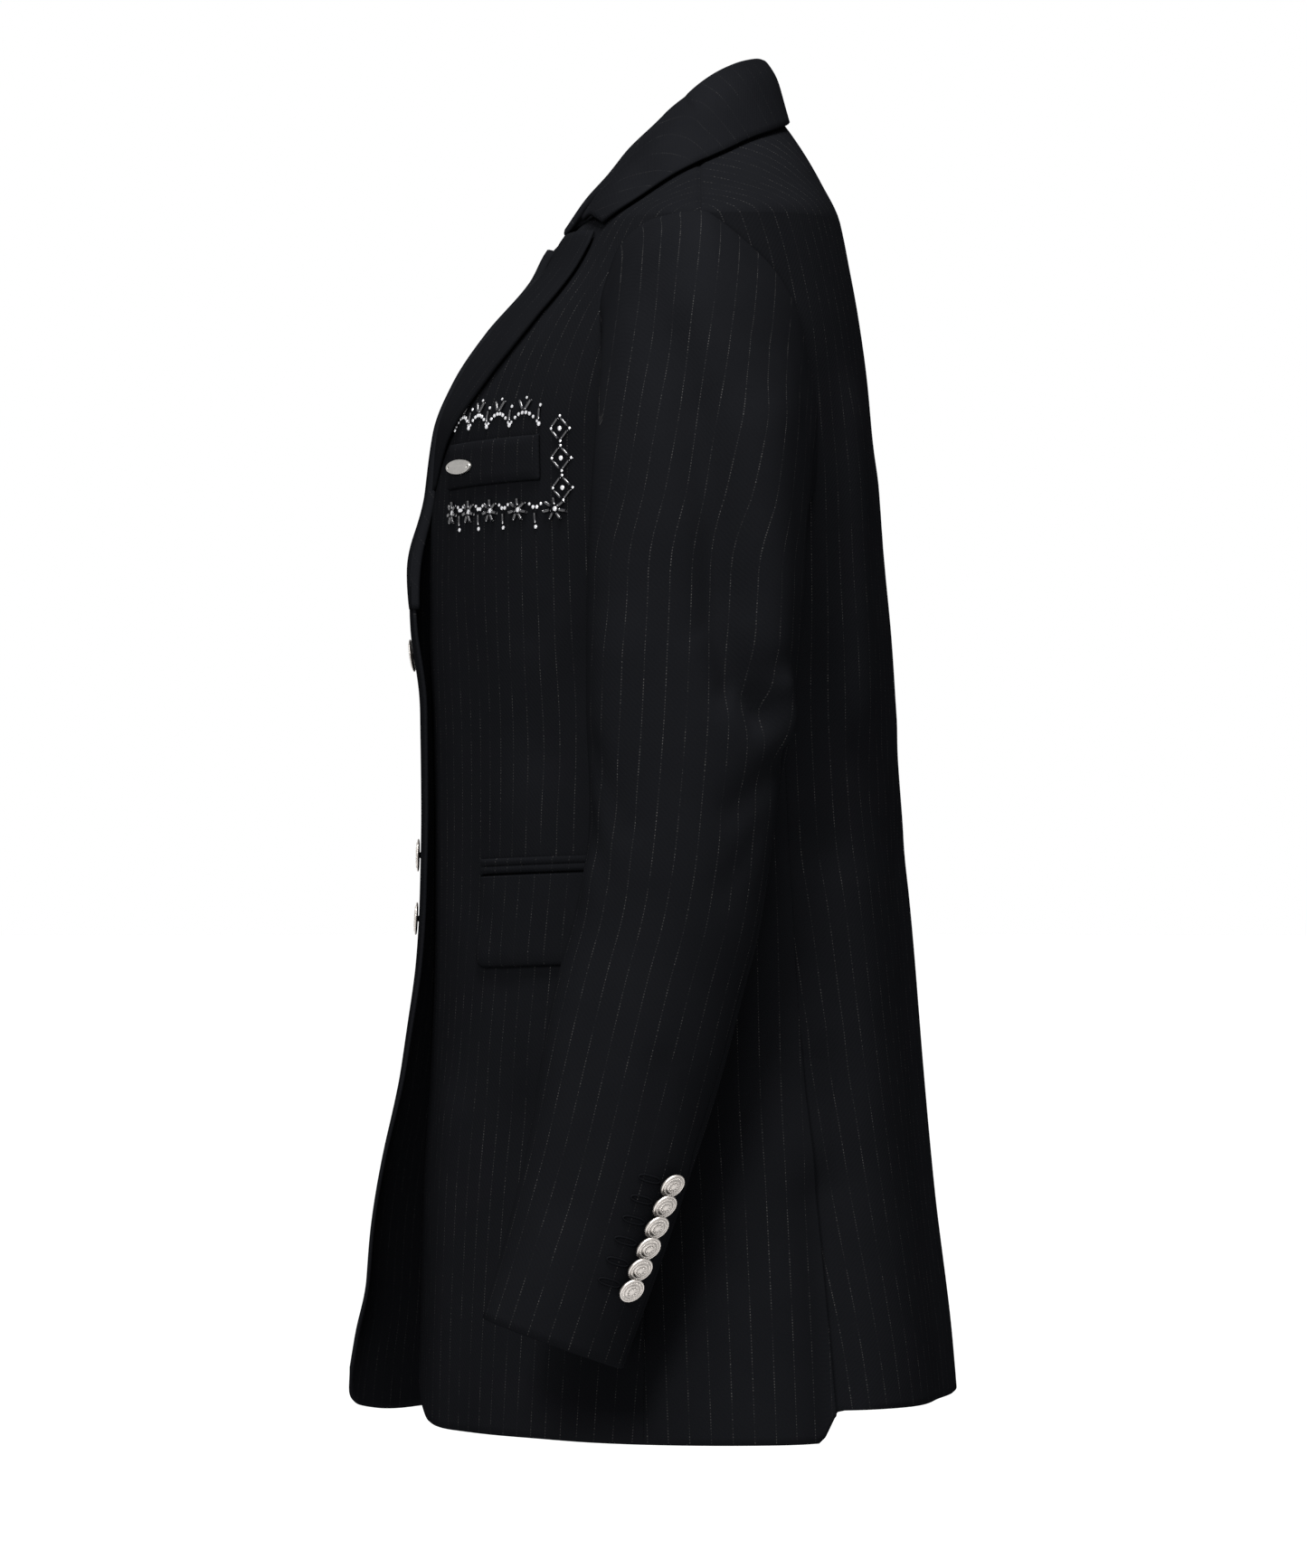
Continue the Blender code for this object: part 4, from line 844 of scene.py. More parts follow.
def side_panel(side, material):
    """The panel under the arm, from the hem to the bottom of the armhole."""
    s = columns(SIDE_WIDTH)[None, :]
    ring = SIDE_FRONT_ANGLE + (SIDE_BACK_ANGLE - 360 - SIDE_FRONT_ANGLE) * s
    hole_y, hole_z = armhole_place(ring)
    z = np.concatenate([LOW_HEIGHTS[:, None] + 0 * s, hole_z])
    low = angle_at_y(seam_y(z, False), z) + seam_step(z)
    high = angle_at_y(seam_y(z, True), z) - seam_step(z)
    angle = low + (high - low) * s
    angle[-1] = np.clip(angle_at_y(hole_y[0], hole_z[0]), low[-1], high[-1])

    def push(lengths):
        return -sink(lengths) - sink(lengths[:, -1:] - lengths) * (1 - vent(z))

    outer, inner, lengths = surface_grids(side * angle, z, 0, None, push)
    across = lengths - lengths[:, -1:] / 2
    up = up_lengths(side * SIDE_UP_ANGLE, LOW_HEIGHTS)
    up = np.concatenate([up[:, None] + 0 * s, up[-1] + hole_z - LOW_TOP_Z])
    return panel("side", side, outer, inner, across, up, material, ("low",))


# Sleeves
def armhole_point(angle, side):
    """Points of the armhole on the body at ring angles, turned to the left, and the body's normals."""
    y, z = armhole_place(angle)
    place = side * angle_at_y(y, z)
    return body(place, z) * flip_of(side), unit(body_normal(place, z, 0) * flip_of(side))


ARMHOLE_MIDDLE = np.array([0.19, -0.005, -0.15])
# Steps over which the sleeve's directions are taken: round the armhole, round the arm and down it
RING_STEP = 2
AROUND_STEP = 1
DOWN_STEP = 0.02


def off_panel(angle, side):
    """Directions along the cloth from the armhole's edge into the armhole."""
    start, normal = armhole_point(angle, side)
    tangent = armhole_point(angle + RING_STEP, side)[0] - armhole_point(angle - RING_STEP, side)[0]
    off = unit(np.cross(normal, tangent))
    facing = np.sign(np.sum(off * (ARMHOLE_MIDDLE - start), axis=-1, keepdims=True))
    return off * facing


def ring_point(angle, z):
    """Points of the sleeve below the cap at ring angles and heights of its centre."""
    x, y, half_y, half_x, tilt = [curve.at(z) for curve in RING_CURVES]
    turn = np.radians(angle)
    across = -half_y * np.cos(turn)
    lean = np.radians(tilt)
    return xyz(x + half_x * np.sin(turn), y + across * np.cos(lean), z - across * np.sin(lean))


# Where the cap turns to the underarm (sines of the ring angle), and where the folds begin below the armhole,
# lessen above the cuff, and the armhole's own normals end, all as u
UNDER_ARM = (0.55, 0.97)
CAP_FOLDS = (0.15, 0.6)
CUFF_FOLDS = (1.85, 2.0)
CUFF_FOLDS_LESS = 0.6
RIM_NORMALS = (0.06, 0.16)
ARM_TOP_Z = SLEEVE_RINGS[0][0]
CUFF_Z = SLEEVE_RINGS[-1][0]


def under_part(angle):
    """0 over the cap and 1 under the arm."""
    return step(-np.sin(np.radians(angle)), *UNDER_ARM)


def arm_height(u):
    """Height of the sleeve's centre, from u = 1 below the cap to u = 2 at the cuff."""
    return ARM_TOP_Z + (CUFF_Z - ARM_TOP_Z) * (np.clip(u, 1, 2) - 1)


def cap_point(angle, t, side):
    """Points between the armhole and the first ring below the cap."""
    start = armhole_point(angle, side)[0] + off_panel(angle, side) * CAP_GAP
    end = ring_point(angle, ARM_TOP_Z)
    under = under_part(angle)
    reach = np.linalg.norm(end - start, axis=-1)
    slope = CAP["slope"] * (1 - under) + CAP["under_slope"] * under
    strength = CAP["out"] * reach * (1 - under) + CAP["under_out"] * under
    out = xyz(strength, 0, slope * strength)
    down = xyz(0, 0, -CAP["down"] * reach)
    return hermite(start, out, end, down, np.asarray(t)[..., None])


def sleeve_point(angle, u, folds, side):
    """Points of a sleeve, turned to the left: u is 0 to 1 over the cap and 1 to 2 to the cuff."""
    angle, u = np.broadcast_arrays(np.asarray(angle, float), np.asarray(u, float))
    cap = cap_point(angle, np.clip(u, 0, 1), side)
    arm_z = arm_height(u)
    point = np.where((u <= 1)[..., None], cap, ring_point(angle, arm_z))
    z = np.where(u <= 1, cap[..., 2], arm_z)
    fade = np.where(u <= 1, step(u, *CAP_FOLDS), 1 - CUFF_FOLDS_LESS * step(u, *CUFF_FOLDS))
    turn = np.radians(angle)
    span = (angle + 180) % 360 - 180
    depth = fold_depth(folds, span, z, SLEEVE_FOLD_RADIUS) * fade
    return point + xyz(np.sin(turn), -np.cos(turn), 0) * depth[..., None]


def sleeve_normal(angle, u, folds, side):
    """Unit normals of a sleeve, pointing out of it."""
    angle, u = np.broadcast_arrays(np.asarray(angle, float), np.asarray(u, float))
    ahead = sleeve_point(angle, np.minimum(u + DOWN_STEP, 2.0), folds, side)
    behind = sleeve_point(angle, np.maximum(u - DOWN_STEP, 0.0), folds, side)
    after = sleeve_point(angle + AROUND_STEP, u, folds, side)
    before = sleeve_point(angle - AROUND_STEP, u, folds, side)
    normal = unit(np.cross(after - before, behind - ahead))
    under = under_part(angle)[..., None]
    rim = unit(armhole_point(angle, side)[1] * (1 - under) + np.array([0, 0, -1.0]) * under)
    near = (1 - step(u, *RIM_NORMALS))[..., None]
    return unit(normal * (1 - near) + rim * near)


def hind_seam(u):
    """Ring angle of the sleeve's back seam."""
    return HIND_SEAM_ANGLE - HIND_SEAM_TURN * step(u, SEAM_TURN_FROM, SEAM_TURN_TO)


def front_seam(u):
    """Ring angle of the sleeve's front seam, on its inner side."""
    return FRONT_SEAM_ANGLE + FRONT_SEAM_TURN * step(u, SEAM_TURN_FROM, SEAM_TURN_TO)


SLEEVE_ROWS = np.concatenate([
    [0, 0.006, 0.014, 0.03],
    np.linspace(0.03, 1, 28)[1:],
    np.linspace(1, 2, 96)[1:],
])
# The vent of the cuff: where it begins and is open, how far its edge lifts, and over what distance
CUFF_VENT_HEIGHTS = (0.565, 0.58)
VENT_LIFT = 0.001
VENT_LIFT_WIDTH = 0.012
# The swell of the sleeve head begins and is full at these sines of the ring angle
HEAD_SWELL_OVER = (-0.2, 0.5)
# Stripes over the cap: their lean, the share of its width where they spread, and where they take over
CAP_STRIPE_LEAN = 0.17
CAP_STRIPE_SHARE = 0.85
CAP_STRIPE_SPREAD = 1.9
CAP_STRIPE_ROWS = (0.8, 1.0)
CAP_STRIPE_OVER = (0.0, 0.4)
# Ring angles down the middle of the two pieces, and those that a sleeve's girth is measured over
TOP_ANGLE = 90.0
UNDER_ANGLE = 270.0
GIRTH_ANGLES = np.linspace(-60, 400, 461)
NO_FOLDS = np.zeros((0, 6))


def sleeve_flat(angle, u, side, top):
    """Places of a sleeve's points on its flat cloth, with the stripes down the arm."""
    middle_angle = TOP_ANGLE if top else UNDER_ANGLE
    line = sleeve_point(np.full(len(u), middle_angle), u[:, 0], NO_FOLDS, side)
    down = row_lengths(line[None])[0]
    rings = arm_height(u[:, 0])
    half_y = RING_CURVES[2].at(rings)[:, None]
    half_x = RING_CURVES[3].at(rings)[:, None]
    turn = angle
    if top:
        point = sleeve_point(angle, u, NO_FOLDS, side)
        middle_y = RING_CURVES[1].at(ARM_TOP_Z) + CAP_STRIPE_LEAN * np.maximum(point[..., 2] - ARM_TOP_Z, 0)
        share = (middle_y - point[..., 1]) / half_y
        inside = np.clip(share, -CAP_STRIPE_SHARE, CAP_STRIPE_SHARE)
        straight = np.degrees(np.arccos(inside) - (share - inside) * CAP_STRIPE_SPREAD)
        over_top = (1 - step(u, *CAP_STRIPE_ROWS)) * step(np.sin(np.radians(angle)), *CAP_STRIPE_OVER)
        turn = angle + (straight - angle) * over_top
    around = np.radians(GIRTH_ANGLES)
    middle = (around[1:] + around[:-1]) / 2
    pace = np.sqrt((half_x * np.cos(middle)) ** 2 + (half_y * np.sin(middle)) ** 2) * np.diff(around)
    length = np.concatenate([np.zeros((len(pace), 1)), np.cumsum(pace, axis=1)], axis=1)
    start = np.radians(middle_angle)
    across = np.array([
        np.interp(np.radians(row), around, line) - np.interp(start, around, line)
        for row, line in zip(turn, length)
    ])
    return np.stack([across, -down[:, None] + 0 * across], axis=-1)


def folds_of(side):
    """The folds of the sleeve on a side."""
    return SLEEVE_FOLDS_LEFT if side > 0 else SLEEVE_FOLDS_RIGHT


def sleeve_piece(name, start, end, cols, side, material, top):
    """A sleeve piece between two seams."""
    folds = folds_of(side)
    u = SLEEVE_ROWS[:, None]
    gap = math.degrees(SEAM_HALF_GAP / SLEEVE_RADIUS)
    low = start(u) + gap
    high = end(u) - gap
    angle = low + (high - low) * np.linspace(0, 1, cols + 1)[None, :]
    point = sleeve_point(angle, u, folds, side)
    normal = sleeve_normal(angle, u, folds, side)
    around = row_lengths(point)
    along = row_lengths(point.transpose(1, 0, 2)).T
    swell = HEAD_SWELL * np.exp(-((along - HEAD_SWELL_AT) / HEAD_SWELL_WIDTH) ** 2)
    over_top = step(np.sin(np.radians(angle)), *HEAD_SWELL_OVER)
    push = swell * over_top - HEAD_SINK * np.exp(-(along / HEAD_SOFT) ** 2) * (u > 0)
    opened = step(-point[..., 2], *CUFF_VENT_HEIGHTS)
    if top:
        back_gap = around[:, -1:] - around
        push = push - sink(around) - sink(back_gap) * (1 - opened)
        push = push + VENT_LIFT * opened * np.exp(-(back_gap / VENT_LIFT_WIDTH) ** 2)
    else:
        push = push - sink(around) * (1 - opened) - sink(around[:, -1:] - around)
    outer, inner = pushed(point, normal, push)
    grids = [outer * flip_of(side), inner * flip_of(side), sleeve_flat(angle, u, side, top)]
    outer, inner, uv = [grid[::-1, ::side] for grid in grids]
    piece = shell("cloth_" + name + end_of(side), outer, inner, uv, material, ("low",))
    return declare(piece, name + end_of(side), uv)


def sleeve(side, material):
    """The two pieces of a sleeve."""
    sleeve_piece("top_sleeve", front_seam, hind_seam, TOP_COLS, side, material, True)
    sleeve_piece("under_sleeve", hind_seam, lambda u: front_seam(u) + 360, UNDER_COLS, side, material, False)


# Lapels and collar
def lapel_foot(side):
    """Height of a lapel's lowest point."""
    return LAPEL_FOOT_LEFT if side > 0 else LAPEL_FOOT_RIGHT


def lapel_edge_x(z, side):
    """Distance of the lapel's outer edge from the centre. The right one starts lower."""
    foot = lapel_foot(side)
    part = (z - foot) / (LAPEL_TOP_Z - foot)
    x = LAPEL_CURVE.at(LAPEL_FOOT_LEFT + (LAPEL_TOP_Z - LAPEL_FOOT_LEFT) * part)
    if side < 0:
        x = x - RIGHT_LAPEL["narrower"] * (1 - step(part, 0, RIGHT_LAPEL["until"]))
    return x


def walls_of(mid):
    """Two grids, half a wall to each side of a middle grid."""
    along = np.gradient(mid, axis=0)
    across = np.gradient(mid, axis=1)
    normal = unit(np.cross(along, across))
    return mid + normal * WALL / 2, mid - normal * WALL / 2


# Cross-section of the lapel's roll round the front's edge: along the cloth, and off it
LAPEL_ROLL = ((-0.0013, -0.0021), (-0.0016, -0.001), (-0.0014, 0.0003), (-0.0006, 0.0013), (0.001, 0.0019))
# The lapel's rows and columns: the row spacing, the start above its foot, and places from roll to edge. Its
# direction at the roll is taken over a step in degrees
LAPEL_STEP = 0.5
LAPEL_ROW = 0.0032
LAPEL_START = 0.004
LAPEL_COLUMNS = np.concatenate([[0.03, 0.08], np.linspace(0.14, 0.94, 20), [0.98, 1.0]])[None, :]
# Length of cloth up the lapel for each metre of height, as it leans outward
LAPEL_SLANT = 1.2


def lapel(side, material):
    """The lapel, turned back along the roll and lying on the front."""
    foot = lapel_foot(side)
    rows = int((LAPEL_TOP_Z - foot) / LAPEL_ROW)
    z = np.linspace(foot + LAPEL_START, LAPEL_TOP_Z, rows)[:, None]
    roll = edge_x(z, side)
    edge = np.maximum(lapel_edge_x(z, side), roll + LAPEL_LEAST_WIDTH)
    s = LAPEL_COLUMNS
    angle = side * angle_at_x(roll + (edge - roll) * s, z)
    belly = LAPEL_BELLY * np.sin(math.pi * s)
    pressed = 1 - step(z - foot, 0, LAPEL_FOOT_SOFT)
    stand = LAY_ON + WALL / 2 + (belly + LAPEL_EDGE_UP * s) * (1 - pressed) - LAPEL_FOOT_SINK * pressed
    flat = body(angle, z, side) + body_normal(angle, z, side) * stand[..., None]
    start_angle = side * angle_at_x(roll, z)
    start = body(start_angle, z, side)
    normal = body_normal(start_angle, z, side)
    ahead = body(start_angle + side * LAPEL_STEP, z, side)
    across = unit(ahead - start)
    sunk = LAPEL_FOOT_SINK * pressed[..., None]
    rolled = [start + across * w + normal * (h - sunk) for w, h in LAPEL_ROLL]
    mid = np.concatenate(rolled + [flat], axis=1)
    outer, inner = walls_of(mid)
    if side > 0:
        outer, inner = inner, outer
    lengths = row_lengths(mid)
    uv = np.stack([lengths[:, -1:] - lengths, (z - foot) * LAPEL_SLANT + 0 * lengths], axis=-1)
    end = end_of(side)
    piece = shell("cloth_lapel" + end, outer, inner, uv, material, ("end", "high"))
    return declare(piece, "lapel" + end, uv, ["cloth_front" + end])


def stations(table):
    """Curves through a table of points, from 0 at its first row to 1 at its last."""
    places = np.linspace(0, 1, len(table))
    return [Curve(places, table[:, k]) for k in range(table.shape[1])]


ROLL_STATIONS = stations(COLLAR_ROLL)
FALL_STATIONS = stations(COLLAR_EDGE)
STAND_STATIONS = stations(COLLAR_SEAM)


def station(lines, t):
    """Point of the curves of a table at a place from 0 to 1 along it."""
    return np.array([float(line.at(t)) for line in lines])


SMOOTH_STEPS = 4


def smooth_line(points):
    """A rounder line through points, in steps between each two."""
    ends = np.concatenate([[2 * points[0] - points[1]], points, [2 * points[-1] - points[-2]]])
    out = []
    for k in range(1, len(ends) - 2):
        p0, p1, p2, p3 = ends[k - 1:k + 3]
        for i in range(SMOOTH_STEPS):
            t = i / SMOOTH_STEPS
            out.append(0.5 * (2 * p1 + (p2 - p0) * t + (2 * p0 - 5 * p1 + 4 * p2 - p3) * t * t
                              + (3 * p1 - p0 - 3 * p2 + p3) * t ** 3))
    out.append(points[-1])
    return np.array(out)


# The collar's cross-section: hollow of the stand, drop and reach of the roll, and the fall from roll to edge
STAND_HOLLOW = 0.001
ROLL_DROP = 0.006
LEAST_TALL = 0.006
ROLL_OVER_DROP = 0.002
COLLAR_FALL = (
    # share of the way, out, up
    (0.35, 0.003, 0.002),
    (0.7, 0.0016, 0.001),
)
# Share of the collar's places that run beside the back. The rest run down to the notch
STAND_SHARE = 0.5


def collar_section(t):
    """Cross-section of the left half of the collar at a place from the centre back to the notch."""
    roll = station(ROLL_STATIONS, t)
    edge_angle, edge_z = station(FALL_STATIONS, t)
    side = 1 if edge_angle < 90 else 0
    edge = body(edge_angle, edge_z, side)
    edge = edge + body_normal(edge_angle, edge_z, side) * (WALL / 2 + COLLAR_STANDS_OFF)
    if t <= STAND_SHARE:
        seam_angle, seam_z = station(STAND_STATIONS, t / STAND_SHARE)
        seam = body(seam_angle, seam_z) - body_normal(seam_angle, seam_z, 0) * WALL / 2
        seam = seam + np.array([0, 0, STAND_TOP_UP])
    else:
        part = (t - STAND_SHARE) / (1 - STAND_SHARE)
        seam_z = STAND_FRONT["start_z"] + (STAND_FRONT["end_z"] - STAND_FRONT["start_z"]) * part
        angle = angle_at_x(edge_x(seam_z, 1) - STAND_FRONT["inside"], seam_z)
        seam = body(angle, seam_z, 1) + np.array([0, STAND_FRONT["back"], STAND_FRONT["up"]])
    flat = edge - seam
    flat[2] = 0
    flat = unit(flat)
    up = np.array([0, 0, 1.0])
    tall = max(roll[2] - seam[2], LEAST_TALL)
    wide = COLLAR_ROLL_WIDTH
    points = [
        seam,
        seam + (roll - seam) * 0.5 - flat * STAND_HOLLOW,
        roll - flat * wide * 0.8 - up * min(ROLL_DROP, tall * 0.3),
        roll - flat * wide * 0.1,
        roll + flat * wide - up * ROLL_OVER_DROP,
    ]
    points += [roll + (edge - roll) * share + flat * out + up * rise for share, out, rise in COLLAR_FALL]
    return smooth_line(np.array(points + [edge]))


# How the collar's band bends on the flat: in radians, and between these distances from the centre back
COLLAR_BEND = 0.64
COLLAR_BEND_OVER = (0.02, 0.2)
COLLAR_PLACES = 64


def collar(material):
    """Stand and fall in one shell, from notch to notch round the back of the neck."""
    half = [collar_section(t) for t in np.linspace(0, 1, COLLAR_PLACES)]
    right = [points * flip_of(-1) for points in half[:0:-1]]
    mid = np.array(right + half)
    outer, inner = walls_of(mid)
    edge_length = row_lengths(mid[:, -1:].transpose(1, 0, 2))[0]
    signed = edge_length - edge_length[COLLAR_PLACES - 1]
    across = row_lengths(mid)
    bend = COLLAR_BEND * step(np.abs(signed), *COLLAR_BEND_OVER) * np.sign(signed)
    steps = np.diff(signed)
    turn = (bend[1:] + bend[:-1]) / 2
    flat_x = np.concatenate([[0], np.cumsum(steps * np.cos(turn))])
    flat_y = np.concatenate([[0], np.cumsum(steps * np.sin(turn))])
    flat_x -= flat_x[COLLAR_PLACES - 1]
    flat_y -= flat_y[COLLAR_PLACES - 1]
    inward = across[:, -1:] - across
    uv = np.stack([
        flat_x[:, None] - inward * np.sin(bend)[:, None],
        flat_y[:, None] + inward * np.cos(bend)[:, None],
    ], axis=-1)
    uv[..., 0] += STRIPE_PITCH / 2
    piece = shell("cloth_collar", outer, inner, uv, material, ("low", "high", "end"))
    flat = (float(edge_length[-1]), float(across[:, -1].max()), grid_area(mid))
    return declare(piece, "collar", uv, ["cloth_back_left", "cloth_back_right"], flat)


# Pieces on the panels: their columns, the curve of the front over a straight width, a corner's height to its
# width, and the gap under them as a share of how far they lie off the panel
PATCH_SPACING = 0.0028
PATCH_CURVE = 1.15
CORNER_SHAPE = 0.6
PATCH_UNDER = 0.7


def patch(name, node, shape, side, material, relief, corner=0.0, rows=14):
    """A piece lying on a front between two distances from the centre, with its own relief."""
    width = shape["x1"] - shape["x0"]
    s = columns(width * PATCH_CURVE, PATCH_SPACING)[None, :]
    f = columns(shape["tall"], shape["tall"] / rows)[:, None]
    low = shape["low0"] + (shape["low1"] - shape["low0"]) * s
    raised_corner = 0.0
    if corner:
        part = 1 - np.clip(np.minimum(s, 1 - s) * width, 0, corner) / corner
        raised_corner = corner * (1 - np.sqrt(1 - part ** 2)) * CORNER_SHAPE
    z = low + raised_corner + (shape["tall"] - raised_corner) * f
    start = angle_at_x(shape["x0"], z)
    finish = angle_at_x(shape["x1"], z)
    angle = side * (start + (finish - start) * s)
    point = body(angle, z, side)
    normal = body_normal(angle, z, side)
    raised = shape["thick"] * relief(s, f)
    outer = point + normal * (LAY_ON + raised)[..., None]
    inner = point + normal * LAY_ON * PATCH_UNDER
    across = from_centre(side * start[:, 0], z[:, 0], side)[:, None] + row_lengths(point)
    uv = np.stack([across, z - z.min()], axis=-1)
    outer, inner, uv = [grid[:, ::side] for grid in (outer, inner, uv)]
    piece = shell(name, outer, inner, uv, material, ("low", "start", "end"))
    return declare(piece, node, uv, ["cloth_front" + end_of(side)])


# Reliefs: one over the share in which a piece is full beside its edges, and its least height there
EDGE_RELIEF = {"beside": 9, "above": 6, "least": 0.45}
JET_RELIEF = {"beside": 18, "least": 0.25, "roundness": 0.7}
FLAP_RELIEF = {"beside": 12, "least": 0.5, "foot": 8, "foot_least": 0.55, "low": 1.25, "less_above": 0.55}


def from_edge(distance, gain):
    """0 at an edge and 1 away from it."""
    return np.minimum(distance * gain, 1)


def edge_relief(s, f):
    """Full in the middle and thinner at the edges, as a pressed pocket piece is."""
    beside = from_edge(np.minimum(s, 1 - s), EDGE_RELIEF["beside"]) ** 0.5
    above = from_edge(np.minimum(f, 1 - f), EDGE_RELIEF["above"]) ** 0.5
    least = EDGE_RELIEF["least"]
    return least + (1 - least) * beside * above


def jet_relief(s, f):
    """Two narrow rolls with a slit between them."""
    beside = from_edge(np.minimum(s, 1 - s), JET_RELIEF["beside"])
    rolls = np.abs(np.sin(2 * math.pi * f)) ** JET_RELIEF["roundness"]
    least = JET_RELIEF["least"]
    return least + (1 - least) * rolls * beside


def flap_relief(s, f):
    """A flap that stands off a little towards its lower edge."""
    form = FLAP_RELIEF
    beside = form["least"] + (1 - form["least"]) * from_edge(np.minimum(s, 1 - s), form["beside"]) ** 0.5
    foot = form["foot_least"] + (1 - form["foot_least"]) * from_edge(f, form["foot"]) ** 0.5
    return beside * foot * (form["low"] - form["less_above"] * f)


# Materials
class Value:
    """A shader socket that does sums: each sum becomes a Math node."""

    def __init__(self, nodes, socket):
        self.nodes = nodes
        self.socket = socket

    def math(self, operation, *others):
        """A Math node of this value and others."""
        node = self.nodes.tree.nodes.new("ShaderNodeMath")
        node.operation = operation
        for slot, item in zip(node.inputs, (self,) + others):
            if isinstance(item, Value):
                self.nodes.tree.links.new(item.socket, slot)
            else:
                slot.default_value = item
        return Value(self.nodes, node.outputs[0])

    def __add__(self, other):
        return self.math("ADD", other)

    def __sub__(self, other):
        return self.math("SUBTRACT", other)

    def __mul__(self, other):
        return self.math("MULTIPLY", other)

    def __truediv__(self, other):
        return self.math("DIVIDE", other)

    def __lt__(self, other):
        return self.math("LESS_THAN", other)


class Nodes:
    """A material's node tree."""

    def __init__(self, name):
        self.material = bpy.data.materials.new(name)
        self.material.use_nodes = True
        self.tree = self.material.node_tree
        self.shader = self.tree.nodes["Principled BSDF"]

    def add(self, kind, settings, sockets, output=0):
        """A node with its settings and input sockets, as a value of one of its outputs."""
        node = self.tree.nodes.new(kind)
        for key, item in settings.items():
            setattr(node, key, item)
        for key, item in sockets.items():
            if isinstance(item, Value):
                self.tree.links.new(item.socket, node.inputs[key])
            else:
                node.inputs[key].default_value = item
        return Value(self, node.outputs[output])

    def mix(self, factor, first, second):
        """A colour between two others. The node's sockets share names, so they go by number."""
        return self.add("ShaderNodeMix", {"data_type": "RGBA"}, {0: factor, 6: first, 7: second}, output=2)

    def set(self, **sockets):
        """Constants on the shader. An underscore stands for a space."""
        for key, item in sockets.items():
            self.shader.inputs[key.replace("_", " ")].default_value = item

    def feed(self, key, value):
        """Links a value to a socket of the shader."""
        self.tree.links.new(value.socket, self.shader.inputs[key])


WOOL_DARK = (0.00135, 0.00145, 0.00175, 1)
WOOL_LIGHT = (0.00265, 0.00275, 0.0032, 1)
THREAD = (0.02, 0.0195, 0.019, 1)
# Noise scales of the cloth, for each metre, and the fibre's share of its tone
CLOUD_SCALE = 26.0
FIBRE_SCALE = 1500.0
FIBRE_SHARE = 0.55
# How the stripes' dots differ: the least by chance, and the patches where they wear away
DOT_LEAST = 0.1
WEAR_SCALE = 60.0
WEAR_GAIN = 3.0
WEAR_FROM = 0.95
WEAR_LEAST = 0.08
# The weave's relief: turns of the twill for each metre, its and the fibre's share, and the bump
TWILL_SCALE = 2200.0
TWILL_SHARE = 0.5
FIBRE_RELIEF = 1.4
WEAVE_STRENGTH = 0.35
WEAVE_DEPTH = 0.00012
# Aged metal: where a hollow begins, how fast it darkens, and how wear adds to tone and roughness
WORN_SCALE = 420.0
HOLLOW_FROM = 0.44
HOLLOW_GAIN = 6.0
WORN_GAIN = 0.8
WORN_TONE = 0.35
WORN_ROUGH = 0.25
WORN_SMOOTHER = 0.12


def wool(name, stripes):
    """Matte black worsted with dotted pinstripes of a strength, from its place on the flat cloth."""
    nodes = Nodes(name)
    nodes.set(Roughness=0.8, IOR=1.15, Specular_IOR_Level=0.0)
    place = nodes.add("ShaderNodeUVMap", {"uv_map": "cloth"}, {})
    across = nodes.add("ShaderNodeSeparateXYZ", {}, {"Vector": place})
    along = Value(nodes, across.socket.node.outputs[1])
    objects = nodes.add("ShaderNodeTexCoord", {}, {}, output=3)
    cloudy = nodes.add("ShaderNodeTexNoise", {}, {"Vector": objects, "Scale": CLOUD_SCALE, "Detail": 4.0})
    fibre = nodes.add("ShaderNodeTexNoise", {}, {"Vector": objects, "Scale": FIBRE_SCALE, "Detail": 2.0})
    colour = nodes.mix(cloudy * (1 - FIBRE_SHARE) + fibre * FIBRE_SHARE, WOOL_DARK, WOOL_LIGHT)
    if stripes > 0:
        turns = across / STRIPE_PITCH
        off = (turns - turns.math("FLOOR") - 0.5).math("ABSOLUTE") * STRIPE_PITCH
        line = off < STRIPE_HALF
        beads = along / DOT_PITCH
        dot = (beads - beads.math("FLOOR") - 0.5).math("ABSOLUTE") < DOT_DUTY / 2
        cell = nodes.add("ShaderNodeCombineXYZ", {}, {"X": turns.math("FLOOR"), "Y": beads.math("FLOOR")})
        chance = nodes.add("ShaderNodeTexWhiteNoise", {"noise_dimensions": "2D"}, {"Vector": cell})
        patchy = nodes.add("ShaderNodeTexNoise", {}, {"Vector": objects, "Scale": WEAR_SCALE, "Detail": 2.0})
        worn = (patchy * WEAR_GAIN - WEAR_FROM).math("MAXIMUM", WEAR_LEAST)
        bright = (chance * (1 - DOT_LEAST) + DOT_LEAST) * worn * stripes
        colour = nodes.mix((line * dot * bright).math("MINIMUM", 1.0), colour, THREAD)
    nodes.feed("Base Color", colour)
    twill = (across * TWILL_SCALE + along * TWILL_SCALE).math("SINE") * TWILL_SHARE + fibre * FIBRE_RELIEF
    bump = nodes.add(
        "ShaderNodeBump", {}, {"Height": twill, "Strength": WEAVE_STRENGTH, "Distance": WEAVE_DEPTH})
    nodes.feed("Normal", bump)
    return nodes.material


